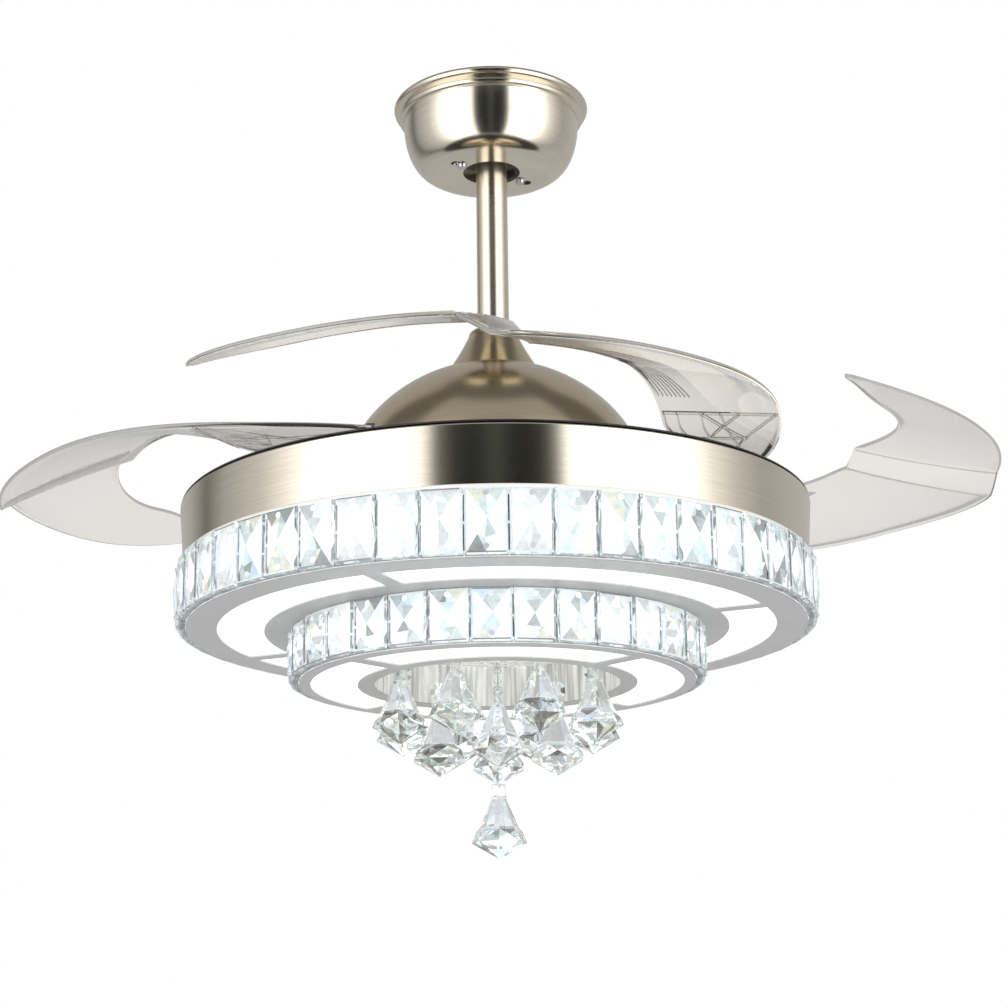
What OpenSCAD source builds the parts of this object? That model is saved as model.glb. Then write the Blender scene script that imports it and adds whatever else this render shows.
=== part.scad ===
// Ceiling fan with four clear blades that fold back over its crystal lamp.
// Millimetres. The origin is on the fan's axis, in the plane of the ceiling, and +Z is up.
// The fan is drawn as it hangs at rest, with its blades swung open.

/* [Ceiling bracket] */
// Radius of the plate that is screwed to the ceiling
bracket_r = 58; // [54:1:62]
// Thickness of the bracket's sheet steel
bracket_t = 2.5; // [2:0.1:3]
// Distance between the centres of the two ceiling slots
slot_spacing = 88; // [80:1:92]
// Width of a ceiling slot
slot_w = 5.4; // [4.5:0.1:6.5]
// End-to-end length of a ceiling slot
slot_len = 14; // [10:1:18]
// Radius of the hole for the house wiring
wire_hole_r = 9; // [6:0.5:12]
// Width of the two arms that carry the ball seat
arm_w = 24; // [18:1:28]

/* [Hanger ball] */
// Radius of the ball that the fan hangs from
ball_r = 22; // [21:0.5:23]
// Depth of the ball's centre below the ceiling
ball_drop = 27; // [26:0.5:29]
// Wall of the nylon ring between the ball and its seat
seat_ring_wall = 3.4; // [2.8:0.1:3.8]
// Wall of the steel seat
seat_wall = 8; // [7:0.5:9]

/* [Canopy] */
// Radius of the canopy's rim
canopy_r = 80; // [78:1:90]
// Height of the canopy
canopy_h = 58; // [56:1:64]
// Height of the two rolled beads of the rim
canopy_rim_h = 14; // [10:1:18]
// Radius of the canopy's flat bottom
canopy_flat_r = 45; // [43:1:50]
// Radius of the hole that the rod comes through
canopy_hole_r = 23.3; // [22:0.1:24]
// Sheet thickness of the canopy
canopy_wall = 1.2; // [0.8:0.1:1.6]
// Distance from the axis to the two canopy screws
canopy_screw_at = 29; // [28:0.5:29.5]
// Direction of the first canopy screw, seen from above
keyhole_dir = 35; // [25:1:45]
// Radius of a canopy screw's shank
canopy_screw_r = 2; // [1.5:0.1:2.2]
// Length of the remote receiver's case
receiver_len = 54; // [45:1:60]
// Width of the remote receiver's case
receiver_w = 22; // [16:1:24]
// Height of the remote receiver's case
receiver_h = 19; // [14:1:24]

/* [Down rod] */
// Outer radius of the rod
rod_r = 12.7; // [11:0.1:13]
// Wall of the rod's tube
rod_wall = 2.2; // [1.5:0.1:3]
// Length of rod that shows between the canopy and the yoke cover
rod_shown = 139; // [90:1:400]
// Radius of the two cross pins
cross_pin_r = 3; // [2.5:0.1:3.5]

/* [Yoke and its cover] */
// Height of the conical cover
cover_h = 38; // [36:1:44]
// Radius of the cover's rounded shoulder
cover_top_r = 20; // [18:0.5:23]
// Radius of the cover's foot
cover_base_r = 39; // [37:0.5:42]
// Sheet thickness of the cover
cover_wall = 1.2; // [0.8:0.1:1.5]
// Outer radius of the yoke's socket
yoke_r = 17; // [15.5:0.1:18]
// Radius of the yoke's flange
yoke_flange_r = 28; // [26:0.5:30]
// Thickness of the yoke's flange
yoke_flange_t = 3.5; // [3:0.1:4.5]

/* [Motor] */
// Radius of the motor dome's lower edge
dome_r = 118; // [114:1:122]
// Height of the motor dome
dome_h = 87; // [82:1:95]
// Sheet thickness of the dome
dome_wall = 1.5; // [1:0.1:2]
// Number of vents around the top of the dome
vent_count = 8; // [6:1:10]
// Outer radius of the hollow shaft
shaft_r = 10; // [9:0.1:10.5]
// Radius of the shaft's bore, which the lamp's wires run through
shaft_bore_r = 7; // [5:0.1:7.5]
// Outer radius of the rotor bell
bell_r = 98; // [94:0.5:99]
// Height of the rotor bell above the tray
bell_h = 60; // [56:1:61]
// Wall of the rotor bell
bell_wall = 3; // [2:0.1:4]
// Thickness of the magnets
magnet_t = 4; // [3:0.1:5]
// Number of magnets
magnet_count = 14; // [10:2:18]
// Number of stator teeth
tooth_count = 12; // [9:3:15]
// Height of the laminated stator
stator_h = 30; // [22:1:32]
// Outer radius of each ball bearing
bearing_r = 21; // [20:0.5:23]
// Height of each ball bearing
bearing_h = 12; // [10:0.5:13]

/* [Blades] */
// Distance from the axis to a blade's pivot
pivot_at = 195; // [190:1:198]
// Direction of the first pivot, seen from above
pivot_dir = 63; // [55:1:70]
// Angle from the folded to the open blade
fold = 46; // [40:1:48]
// Thickness of the clear blade
blade_t = 2.6; // [2:0.1:3]
// Reach of the folded blade's outer edge past its crease
blade_reach = 241; // [236:1:243]
// Angle from the pivot to the blade's tip, round the folded circle
blade_span = 173; // [165:1:175]
// Rise of the blade per millimetre towards its inner edge
blade_pitch = 0.31; // [0.2:0.01:0.33]
// Height of the step at the crease that lifts the tip half
crease_step = 13; // [12:0.5:15]
// Extra rise of the tip
tip_rise = 12; // [6:1:14]
// Radius of the pivot pins
pivot_r = 4; // [3:0.1:4.5]
// Radius of the blade's pivot boss
pivot_boss_r = 12; // [11:0.5:13]
// Radius of a return spring's wire
spring_wire_r = 0.8; // [0.6:0.05:0.8]
// Number of turns of a return spring
spring_turns = 2; // [1.5:0.25:2]

/* [Blade tray] */
// Radius of the black tray that carries the pivots
tray_r = 239; // [234:1:241]
// Thickness of the tray
tray_t = 2.5; // [2:0.1:3.5]
// Gap between the dome's edge and the tray
tray_drop = 26; // [25:0.5:30]

/* [Lamp body] */
// Outer radius of the metal band at its top
band_top_r = 246; // [245:0.5:252]
// Outer radius of the metal band at its foot
band_foot_r = 243; // [242:0.5:245]
// Height of the band
band_h = 42.5; // [36:0.5:60]
// Sheet thickness of the band and of the drums
sheet_t = 1.2; // [0.8:0.1:1.5]
// Thickness of the pan, the trim plates and the hook plate
plate_t = 1.2; // [0.8:0.1:1.6]
// Length of the lamp driver's case
driver_len = 150; // [120:1:170]
// Width of the lamp driver's case
driver_w = 44; // [35:1:50]
// Height of the lamp driver's case
driver_h = 28; // [20:1:30]

/* [Upper crystal tier] */
// Number of crystal blocks in the upper ring
upper_count = 50; // [44:1:50]
// Height of the upper blocks
upper_block_h = 47; // [40:1:55]
// Radius of the circle that the upper blocks' front faces touch
upper_ring_r = 250; // [250:0.5:252]
// Direction of the first upper block, seen from above
upper_block_dir = -84.3; // [-90:0.1:-80]
// Inner radius of the upper light windows
upper_window_in = 180; // [175:1:190]
// Outer radius of the upper light windows
upper_window_out = 216; // [210:1:222]
// Direction of the first bar between two upper windows
upper_bar_dir = 66.5; // [45:0.5:90]

/* [Lower crystal tier] */
// Number of crystal blocks in the lower ring
lower_count = 32; // [28:1:32]
// Height of the lower blocks
lower_block_h = 39; // [34:1:46]
// Radius of the circle that the lower blocks' front faces touch
lower_ring_r = 163; // [160:0.5:166]
// Direction of the first lower block, seen from above
lower_block_dir = -80.1; // [-90:0.1:-78]
// Inner radius of the lower light windows
lower_window_in = 108; // [105:1:115]
// Outer radius of the lower light windows
lower_window_out = 144; // [138:1:146]
// Direction of the first bar between two lower windows
lower_bar_dir = 45; // [30:1:60]
// Radius of the round recess that the drops hang in
recess_r = 95; // [94:0.5:98]
// Height of the recess, from the lower trim plate up to the hook plate
recess_h = 32.5; // [28:0.5:34]

/* [Both tiers] */
// Thickness of a crystal block, with its faceted face
block_t = 10; // [9:0.5:11]
// Height of the faceted face's peak
block_peak = 3; // [2:0.1:4]
// Gap between two blocks
block_gap = 0.6; // [0.4:0.1:1]
// Width of the bars between two windows
bar_w = 13; // [10:0.5:16]
// Radius of the pins that hold the blocks
pin_r = 1.2; // [1:0.1:1.5]
// Thickness of the white window panes
pane_t = 2; // [1.5:0.1:3]
// Thickness of the lamp boards
board_t = 1.6; // [1:0.1:2]

/* [Drops] */
// Distance from the axis to the eyes of the outer drops
outer_drop_at = 80; // [77:0.5:82]
// Distance from the axis to the eyes of the inner drops
inner_drop_at = 45; // [43:0.5:47]
// Height of a drop
drop_h = 57; // [50:1:60]
// Widest radius of a drop
drop_r = 21; // [18:0.5:22]
// Radius of a drop's neck
drop_neck_r = 5.6; // [5:0.1:6.5]
// Height of the flat eight-sided bead above each drop
bead_h = 14; // [12:0.5:15]
// Length of the straight wire that lowers the inner drops
inner_wire = 21; // [18:0.5:26]
// Number of links in the chain of the centre drop
chain_links = 24; // [18:1:26]
// Radius of a wire ring, to the middle of its wire
ring_r = 2.6; // [2.4:0.1:3]
// Radius of the rings' wire
ring_wire_r = 0.5; // [0.4:0.05:0.6]

/* [Hidden] */
$fn = 96;

// Numbers that the list of parts fixes
blade_count = 4;
outer_drop_count = 8;
inner_drop_count = 4;

// Clearances: between parts that turn on each other, of parts that slip together,
// between a screw and its hole, of glued parts, and between parts that pass each other.
running = 0.05;
slip = 0.05;
screw_slip = 0.1;
glue = 0.1;
passing = 0.3;
// Small length by which cutting shapes stand proud
cut = 1;

// Ball, its ring and its seat, all round one centre
ball_z = -ball_drop;
ring_in_r = ball_r + running;
ring_out_r = ring_in_r + seat_ring_wall;
seat_in_r = ring_out_r + running;
seat_out_r = seat_in_r + seat_wall;
ball_top = 14;
ball_foot = -15;
ring_top = -2.5;
ring_foot = -13.5;
seat_top = -4;
seat_foot = -15;
arm_in = seat_out_r - bracket_t / 2;
arm_out = arm_in + bracket_t;

// Canopy
canopy_bottom = -canopy_h;
canopy_inside = canopy_bottom + canopy_wall;
arm_foot = 6;
keyhole_len = 6;
screw_head_r = canopy_screw_r * 2;
screw_head_h = 2.4;

// Down rod and yoke
cover_top = canopy_bottom - rod_shown;
dome_top = cover_top - cover_h;
rod_top = ball_z + ball_top + 1;
yoke_socket_h = cover_h - 9;
yoke_floor = dome_top + 6;
rod_foot = yoke_floor + slip;
yoke_pin_z = dome_top + yoke_socket_h / 2 + 3;
yoke_bolt_at = (yoke_r + yoke_flange_r) / 2 + 0.3;
yoke_bolt_r = 2;

// Dome and motor
dome_foot = dome_top - dome_h;
collar_h = 7;
collar_foot = dome_top - dome_wall - collar_h;
tray_top = dome_foot - tray_drop;
tray_foot = tray_top - tray_t;
bell_top = tray_top + bell_h;
bearing_seat_wall = 4;
bearing_seat_r = bearing_r + running + bearing_seat_wall;
lip = 3;
vent_len = 9;
vent_w = 4.5;
vent_dir = 20;
upper_bearing_foot = bell_top - bearing_h;
lower_bearing_foot = tray_foot + 0.5;
lower_bearing_top = lower_bearing_foot + bearing_h;
magnet_in = bell_r - bell_wall - magnet_t;
stator_r = magnet_in - 0.8;
stator_mid = (lower_bearing_top + lip + upper_bearing_foot - lip) / 2;
slot_deep = stator_r * 0.42;
shoe_t = 5;
tooth_w = 2 * PI * slot_deep / tooth_count * 0.42;
coil_t = 5;

// Blades, drawn folded round the axis: an angle u runs clockwise from the pivot to the tip
blade_flat = tray_top + 9.9;
root_disc_r = 21;
root_low_r = 226;
root_in_r = 133;
neck_in_r = 180;
crease_from = 99;
crease_to = 109;
close_from = 150;
tip_w = 5;
boss_foot = blade_flat - blade_t / 2 - 2.2;
boss_top = blade_flat + blade_t / 2 + 2.7;
post_boss_r = pivot_r + 3;
post_boss_top = boss_foot - passing;
cap_t = 1;
cap_r = pivot_r + 4.5;
head_t = 3;
spring_r = post_boss_r + spring_wire_r + 0.7;
spring_foot = tray_top + spring_wire_r + 0.1;
spring_pitch = (boss_foot - passing - spring_wire_r - spring_foot) / spring_turns;
rib_h = 3.5;
rib_w = 2;
rib_from = spring_r + spring_wire_r + 1;
rib_to = root_disc_r * 1.6;

// Lamp body
band_top = tray_foot - 1;
band_foot = band_top - band_h;
pan_top = band_top - 5.5;
pan_foot = pan_top - plate_t;
pan_r = band_top_r - (band_top_r - band_foot_r) * (band_top - pan_foot) / band_h - sheet_t - 0.05;
shaft_collar_r = shaft_r + 6;
nut_h = 7;
nut_r = 15;
shaft_foot = pan_foot - nut_h - 3;
upper_back = upper_ring_r - block_t;
upper_drum_r = upper_back - 0.1;
upper_block_top = band_foot - 3;
upper_block_foot = upper_block_top - upper_block_h;
upper_plate_top = upper_block_foot - 0.3;
upper_plate_foot = upper_plate_top - plate_t;
reflector_z = upper_plate_top + 14;
board_margin = 8;
light_w = 4;
light_h = 1;
upper_lights = 48;
lower_lights = 30;
driver_at = 45;
ear_w = 12;
ear_len = 16;
ear_t = 2;
lower_back = lower_ring_r - block_t;
lower_drum_r = lower_back - 0.1;
lower_block_top = upper_plate_foot - 0.4;
lower_block_foot = lower_block_top - lower_block_h;
lower_plate_top = lower_block_foot - 0.3;
lower_plate_foot = lower_plate_top - plate_t;
hook_z = lower_plate_foot + recess_h;
pin_inset = 5;
pin_tail = 1.5;
pin_head_r = pin_r + 0.9;
pin_head_h = 0.9;
pane_lap = 4;
wire_way_r = 14;

// Drops: each hangs in an eye, on a ring, a bead and a second ring
outer_drop_dir = 22.5;
inner_drop_dir = 0;
eye_r = 2.4;
eye_wire_r = 0.55;
eye_stem = 3;
eye_z = hook_z - eye_stem - eye_r;
eye_bite = eye_z - eye_r;
first_ring_z = eye_bite + eye_wire_r + ring_wire_r + passing - ring_r;
bead_hole = 2.4;
second_ring_r = ring_r + 1;
bead_t = 3;
drop_hole = 3;
drop_neck_t = 4.4;
drop_neck_h = 7;
link_hang = 2 * ring_wire_r + 0.1;
link_step = 2 * ring_r - link_hang;

// Smooth rise from 0 at a to 1 at b
function ease(a, b, x) = let (t = max(0, min(1, (x - a) / (b - a)))) t * t * (3 - 2 * t);
// Plain rise from 0 at a to 1 at b
function ramp(a, b, x) = max(0, min(1, (x - a) / (b - a)));

// Points of a sheet-metal profile and of its inner side, as one closed outline
function sheet(points, t) = concat(points,
    [for (i = [len(points) - 1:-1:0]) sheet_inner(points, i, t)]);
function sheet_inner(p, i, t) =
    let (
        a = p[max(0, i - 1)],
        b = p[min(len(p) - 1, i + 1)],
        d = (b - a) / norm(b - a)
    )
    [p[i][0] + d[1] * t, p[i][1] - d[0] * t];

// Radius of the dome at a height, as a share of its own height from the top
function dome_radius(k) = cover_base_r + (dome_r - cover_base_r) * pow(sin(90 * pow(k, 0.8)), 0.86);

// A ring-shaped sector: radii, height from its foot, first angle and how far it goes
module sector(r_in, r_out, h, from, turn) {
    rotate([0, 0, from])
        rotate_extrude(angle = turn)
            translate([r_in, 0])
                square([r_out - r_in, h]);
}

// A flat ring with a square edge
module washer(r_in, r_out, h) {
    difference() {
        cylinder(r = r_out, h = h);
        translate([0, 0, -cut]) cylinder(r = r_in, h = h + 2 * cut);
    }
}

// A wire ring standing on edge in the XZ plane
module wire_ring(r, wire) {
    rotate([90, 0, 0])
        rotate_extrude($fn = 48)
            translate([r, 0])
                circle(r = wire, $fn = 24);
}

// Puts its children at equal steps round the axis
module round_about(count, at, from) {
    for (i = [0:count - 1])
        rotate([0, 0, from + i * 360 / count])
            translate([at, 0, 0])
                children();
}

// ---- Ceiling mount ----

module bracket_arm() {
    // Strap from the plate past the ball seat to the canopy's floor, with its foot turned in
    translate([arm_in, -arm_w / 2, canopy_inside])
        cube([bracket_t, arm_w, -canopy_inside - bracket_t / 2]);
    difference() {
        translate([canopy_screw_at - arm_foot, -arm_w / 2, canopy_inside])
            cube([arm_out - canopy_screw_at + arm_foot - bracket_t / 2, arm_w, bracket_t]);
        translate([canopy_screw_at, 0, canopy_inside - cut])
            cylinder(r = canopy_screw_r + screw_slip, h = bracket_t + 2 * cut);
    }
}

module ball_seat() {
    // Ring with a spherical hollow, open on one side so that the rod can be slid in
    difference() {
        translate([0, 0, ball_z + seat_foot])
            cylinder(r = seat_out_r, h = seat_top - seat_foot);
        translate([0, 0, ball_z])
            sphere(r = seat_in_r);
        rotate([0, 0, keyhole_dir - 90])
            translate([0, -rod_r - 1, ball_z + seat_foot - cut])
                cube([seat_out_r + cut, 2 * rod_r + 2, seat_top - seat_foot + 2 * cut]);
    }
}

module ceiling_bracket() color([0.75, 0.76, 0.78]) {
    difference() {
        translate([0, 0, -bracket_t]) cylinder(r = bracket_r, h = bracket_t);
        translate([0, 0, -bracket_t - cut]) {
            cylinder(r = wire_hole_r, h = bracket_t + 2 * cut);
            for (side = [-1, 1])
                translate([side * slot_spacing / 2, 0, 0])
                    linear_extrude(bracket_t + 2 * cut) {
                        square([slot_len - slot_w, slot_w], center = true);
                        for (end = [-1, 1])
                            translate([end * (slot_len - slot_w) / 2, 0]) circle(d = slot_w);
                    }
        }
    }
    for (turn = [0, 180])
        rotate([0, 0, keyhole_dir + turn]) bracket_arm();
    ball_seat();
}

// Outline of the canopy from its rim to its hole: two rolled beads, then the bowl
function canopy_outline() =
    let (
        step = 4,
        bead = (canopy_rim_h - 2) / 2,
        bowl_top = -canopy_rim_h,
        bowl_h = canopy_h - canopy_rim_h,
        bowl_r = canopy_r - 2 * step
    )
    concat(
        [for (a = [90:-30:-90]) [canopy_r - bead / 2 + bead / 2 * cos(a), -bead / 2 + bead / 2 * sin(a)]],
        [for (a = [60:-30:-90])
            [canopy_r - step - bead / 2 + bead / 2 * cos(a), -1.5 * bead - 1 + bead / 2 * sin(a)]],
        [for (k = [0:0.125:1])
            [canopy_flat_r + (bowl_r - canopy_flat_r) * pow(cos(90 * k), 0.75),
             bowl_top - bowl_h * sin(90 * k)]],
        [[canopy_hole_r, canopy_bottom]]
    );

module canopy() color([0.72, 0.69, 0.65]) {
    difference() {
        rotate_extrude() polygon(sheet(canopy_outline(), canopy_wall));
        for (turn = [0, 180])
            rotate([0, 0, keyhole_dir + turn])
                translate([0, 0, canopy_bottom - cut])
                    linear_extrude(canopy_wall + 2 * cut) {
                        translate([canopy_screw_at, -canopy_screw_r - screw_slip])
                            square([keyhole_len, 2 * (canopy_screw_r + screw_slip)]);
                        translate([canopy_screw_at, 0]) circle(r = canopy_screw_r + screw_slip);
                        translate([canopy_screw_at + keyhole_len, 0]) circle(r = screw_head_r + passing);
                    }
    }
}

module canopy_screws() color([0.62, 0.6, 0.57]) {
    round_about(2, canopy_screw_at, keyhole_dir)
        translate([0, 0, canopy_bottom - screw_head_h]) {
            difference() {
                cylinder(r1 = screw_head_r * 0.8, r2 = screw_head_r, h = screw_head_h);
                translate([0, 0, -cut]) {
                    linear_extrude(cut + 1.2) {
                        square([screw_head_r * 1.2, 0.8], center = true);
                        square([0.8, screw_head_r * 1.2], center = true);
                    }
                }
            }
            cylinder(r = canopy_screw_r, h = screw_head_h + canopy_wall + bracket_t + 3);
        }
}

module receiver_box() color([0.92, 0.92, 0.9]) {
    // Flat case held against the underside of the bracket's plate, beside the ball
    rotate([0, 0, keyhole_dir + 90])
        translate([arm_out + 1, -receiver_len / 2, -bracket_t - receiver_h])
            difference() {
                cube([receiver_w, receiver_len, receiver_h]);
                for (end = [0, 1])
                    translate([receiver_w / 2, end * receiver_len, receiver_h / 2])
                        rotate([90, 0, 0])
                            cylinder(r = 3, h = 6, center = true);
            }
}

module ball_seat_ring() color([0.93, 0.93, 0.9]) {
    translate([0, 0, ball_z])
        difference() {
            intersection() {
                sphere(r = ring_out_r);
                translate([0, 0, ring_foot]) cylinder(r = ring_out_r + cut, h = ring_top - ring_foot);
            }
            sphere(r = ring_in_r);
        }
}

// ---- Rod and yoke ----

module hanger_ball() color([0.6, 0.6, 0.61]) {
    translate([0, 0, ball_z])
        difference() {
            intersection() {
                sphere(r = ball_r);
                translate([0, 0, ball_foot]) cylinder(r = ball_r + cut, h = ball_top - ball_foot);
            }
            translate([0, 0, -ball_r - cut]) cylinder(r = rod_r + slip, h = 2 * ball_r + 2 * cut);
            rotate([90, 0, keyhole_dir])
                cylinder(r = cross_pin_r + slip, h = 2 * ball_r + cut, center = true);
        }
}

module ball_pin() color([0.7, 0.7, 0.72]) {
    translate([0, 0, ball_z])
        rotate([90, 0, keyhole_dir])
            cylinder(r = cross_pin_r, h = 2 * ball_r - 3, center = true);
}

module downrod() color([0.66, 0.63, 0.58]) {
    difference() {
        translate([0, 0, rod_foot]) cylinder(r = rod_r, h = rod_top - rod_foot);
        translate([0, 0, rod_foot - cut])
            cylinder(r = rod_r - rod_wall, h = rod_top - rod_foot + 2 * cut);
        for (z = [ball_z, yoke_pin_z])
            translate([0, 0, z])
                rotate([90, 0, keyhole_dir])
                    cylinder(r = cross_pin_r + slip, h = 4 * rod_r, center = true);
    }
}

// Outline of the yoke cover from its neck, over its shoulder and down its flared side
function cover_outline() = concat(
    [[rod_r + 2 * passing, cover_top]],
    [for (a = [75:-25:0])
        [cover_top_r - 5 + 5 * cos(a), cover_top - 5 + 5 * sin(a)]],
    [for (k = [0.15:0.17:1])
        [cover_top_r + (cover_base_r - cover_top_r) * (0.8 * k + 0.2 * k * k),
         cover_top - 5 - (cover_h - 5) * k]]
);

module yoke_cover() color([0.62, 0.58, 0.52]) {
    difference() {
        rotate_extrude() polygon(sheet(cover_outline(), cover_wall));
        translate([0, 0, dome_top - 5]) cylinder(r = cover_base_r + cut, h = 5);
    }
}

module motor_yoke() color([0.5, 0.5, 0.51]) {
    difference() {
        translate([0, 0, dome_top]) {
            cylinder(r = yoke_r, h = yoke_socket_h);
            cylinder(r = yoke_flange_r, h = yoke_flange_t);
        }
        translate([0, 0, yoke_floor]) cylinder(r = rod_r + slip, h = cover_h);
        translate([0, 0, dome_top - cut]) cylinder(r = shaft_r + slip, h = cover_h);
        translate([0, 0, yoke_pin_z])
            rotate([90, 0, keyhole_dir])
                cylinder(r = cross_pin_r + slip, h = 2 * yoke_r + 2 * cut, center = true);
        round_about(4, yoke_bolt_at, keyhole_dir + 45)
            translate([0, 0, dome_top - cut])
                cylinder(r = yoke_bolt_r + screw_slip, h = yoke_flange_t + 2 * cut);
    }
}

module yoke_pin() color([0.72, 0.72, 0.74]) {
    // Clevis pin with a head at one end
    translate([0, 0, yoke_pin_z])
        rotate([90, 0, keyhole_dir]) {
            cylinder(r = cross_pin_r, h = 2 * yoke_r + 6, center = true);
            translate([0, 0, yoke_r]) cylinder(r = cross_pin_r + 1.5, h = 2);
        }
}

module yoke_screws() color([0.3, 0.3, 0.31]) {
    round_about(4, yoke_bolt_at, keyhole_dir + 45)
        translate([0, 0, dome_top + yoke_flange_t]) {
            difference() {
                cylinder(r = yoke_bolt_r * 1.8, h = 2.6);
                translate([0, 0, 1.4]) cylinder(r = yoke_bolt_r * 0.9, h = 2, $fn = 6);
            }
            translate([0, 0, -yoke_flange_t - dome_wall - collar_h + 1])
                cylinder(r = yoke_bolt_r, h = yoke_flange_t + dome_wall + collar_h);
        }
}

// ---- Motor ----

module motor_shaft() color([0.78, 0.78, 0.8]) {
    difference() {
        union() {
            translate([0, 0, shaft_foot]) cylinder(r = shaft_r, h = yoke_floor - shaft_foot);
            translate([0, 0, collar_foot]) cylinder(r = yoke_flange_r, h = collar_h);
            translate([0, 0, pan_top])
                cylinder(r = shaft_collar_r, h = lower_bearing_foot - pan_top);
        }
        translate([0, 0, shaft_foot - cut])
            cylinder(r = shaft_bore_r, h = yoke_floor - shaft_foot + 2 * cut);
        round_about(4, yoke_bolt_at, keyhole_dir + 45)
            translate([0, 0, collar_foot - cut])
                cylinder(r = yoke_bolt_r + screw_slip, h = collar_h + 2 * cut);
    }
}

function dome_outline() = concat(
    [[shaft_r + slip, dome_top]],
    [for (i = [0:14]) let (k = i / 14) [dome_radius(k), dome_top - dome_h * k]]
);

module motor_dome() color([0.5, 0.46, 0.4]) {
    difference() {
        rotate_extrude() polygon(sheet(dome_outline(), dome_wall));
        round_about(4, yoke_bolt_at, keyhole_dir + 45)
            translate([0, 0, dome_top - 5])
                cylinder(r = yoke_bolt_r + screw_slip, h = 10);
        round_about(vent_count, cover_base_r + 3, vent_dir)
            translate([0, 0, dome_top - dome_h / 3])
                linear_extrude(dome_h / 2) {
                    translate([0, -vent_w / 2]) square([vent_len, vent_w]);
                    translate([vent_len, 0]) circle(d = vent_w);
                }
    }
}

module stator_core() color([0.35, 0.35, 0.37]) {
    translate([0, 0, stator_mid - stator_h / 2])
        difference() {
            cylinder(r = stator_r, h = stator_h);
            translate([0, 0, -cut]) {
                cylinder(r = shaft_r + slip, h = stator_h + 2 * cut);
                for (i = [0:tooth_count - 1])
                    rotate([0, 0, i * 360 / tooth_count])
                        linear_extrude(stator_h + 2 * cut)
                            tooth_gap();
            }
        }
}

// Gap between two teeth: wide behind the pole shoes, with a narrow mouth
module tooth_gap() {
    half = 180 / tooth_count;
    far = stator_r - shoe_t;
    along = [cos(2 * half), sin(2 * half)];
    aside = tooth_w / 2 * [sin(2 * half), -cos(2 * half)];
    polygon([
        [slot_deep, tooth_w / 2], [far, tooth_w / 2],
        far * along + aside, slot_deep * along + aside
    ]);
    rotate([0, 0, half])
        translate([far * cos(half) - 2, -1.5])
            square([shoe_t + stator_r, 3]);
}

module stator_windings() color([0.72, 0.4, 0.2]) {
    // One closed block of wire round each tooth
    coil_len = stator_r - shoe_t - slot_deep - 8;
    round_about(tooth_count, slot_deep + 5, 0)
        translate([0, 0, stator_mid])
            difference() {
                translate([0, -tooth_w / 2 - coil_t, -stator_h / 2 - coil_t])
                    cube([coil_len, tooth_w + 2 * coil_t, stator_h + 2 * coil_t]);
                translate([-cut, -tooth_w / 2 - slip, -stator_h / 2 - slip])
                    cube([coil_len + 2 * cut, tooth_w + 2 * slip, stator_h + 2 * slip]);
            }
}

module bearings() color([0.8, 0.8, 0.82]) {
    for (z = [upper_bearing_foot, lower_bearing_foot])
        translate([0, 0, z])
            difference() {
                cylinder(r = bearing_r, h = bearing_h);
                translate([0, 0, -cut]) cylinder(r = shaft_r + slip, h = bearing_h + 2 * cut);
                for (side = [-1, 1])
                    translate([0, 0, bearing_h / 2 + side * bearing_h / 2 - 1])
                        washer(shaft_r + 3.5, bearing_r - 3, 2);
            }
}

module rotor_bell() color([0.68, 0.69, 0.7]) {
    // Deep-drawn cup, open downwards, with the upper bearing's seat in its roof
    difference() {
        union() {
            translate([0, 0, tray_top]) cylinder(r = bell_r, h = bell_h - 4);
            translate([0, 0, bell_top - 4]) cylinder(r1 = bell_r, r2 = bell_r - 4, h = 4);
        }
        difference() {
            translate([0, 0, tray_top - cut])
                cylinder(r = bell_r - bell_wall, h = bell_h - bell_wall + cut - 1);
            translate([0, 0, upper_bearing_foot - lip])
                cylinder(r = bearing_seat_r, h = bell_h);
        }
        translate([0, 0, upper_bearing_foot - passing])
            cylinder(r = bearing_r + running, h = bearing_h + cut);
        translate([0, 0, tray_top - cut]) cylinder(r = bearing_r - 4, h = bell_h + 2 * cut);
    }
}

module rotor_magnets() color([0.2, 0.2, 0.22]) {
    pitch = 360 / magnet_count;
    for (i = [0:magnet_count - 1])
        translate([0, 0, stator_mid - stator_h / 2 - 1])
            sector(magnet_in, bell_r - bell_wall - glue, stator_h + 2, i * pitch, pitch - 3);
}

module blade_tray() color([0.07, 0.07, 0.08]) {
    difference() {
        union() {
            translate([0, 0, tray_foot]) cylinder(r = tray_r, h = tray_t, $fn = 128);
            translate([0, 0, tray_foot])
                cylinder(r = bearing_seat_r, h = lower_bearing_top + lip - tray_foot);
            round_about(blade_count, pivot_at, pivot_dir)
                translate([0, 0, tray_top - tray_t / 2])
                    cylinder(r = post_boss_r, h = post_boss_top - tray_top + tray_t / 2);
        }
        translate([0, 0, tray_foot - cut])
            cylinder(r = bearing_r + running, h = lower_bearing_top + passing - tray_foot + cut);
        translate([0, 0, tray_foot]) cylinder(r = bearing_r - 4, h = bell_h);
        round_about(blade_count, pivot_at, pivot_dir)
            translate([0, 0, tray_foot - cut])
                cylinder(r = pivot_r + slip, h = 40);
    }
}

// ---- Blades ----

module pivot_posts() color([0.76, 0.76, 0.78]) {
    // Turned pins, headed under the tray
    round_about(blade_count, pivot_at, pivot_dir)
        translate([0, 0, tray_foot - 0.7]) {
            cylinder(r = pivot_r + 1.5, h = 0.7);
            cylinder(r = pivot_r, h = boss_top + passing - tray_foot + 0.7);
        }
}

module pivot_caps() color([0.7, 0.7, 0.72]) {
    // Washer and flat hexagon head that keep a blade on its pin
    round_about(blade_count, pivot_at, pivot_dir)
        translate([0, 0, boss_top + passing]) {
            cylinder(r = cap_r, h = cap_t);
            translate([0, 0, cap_t]) cylinder(r = pivot_r + 1.8, h = head_t, $fn = 6);
        }
}

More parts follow.
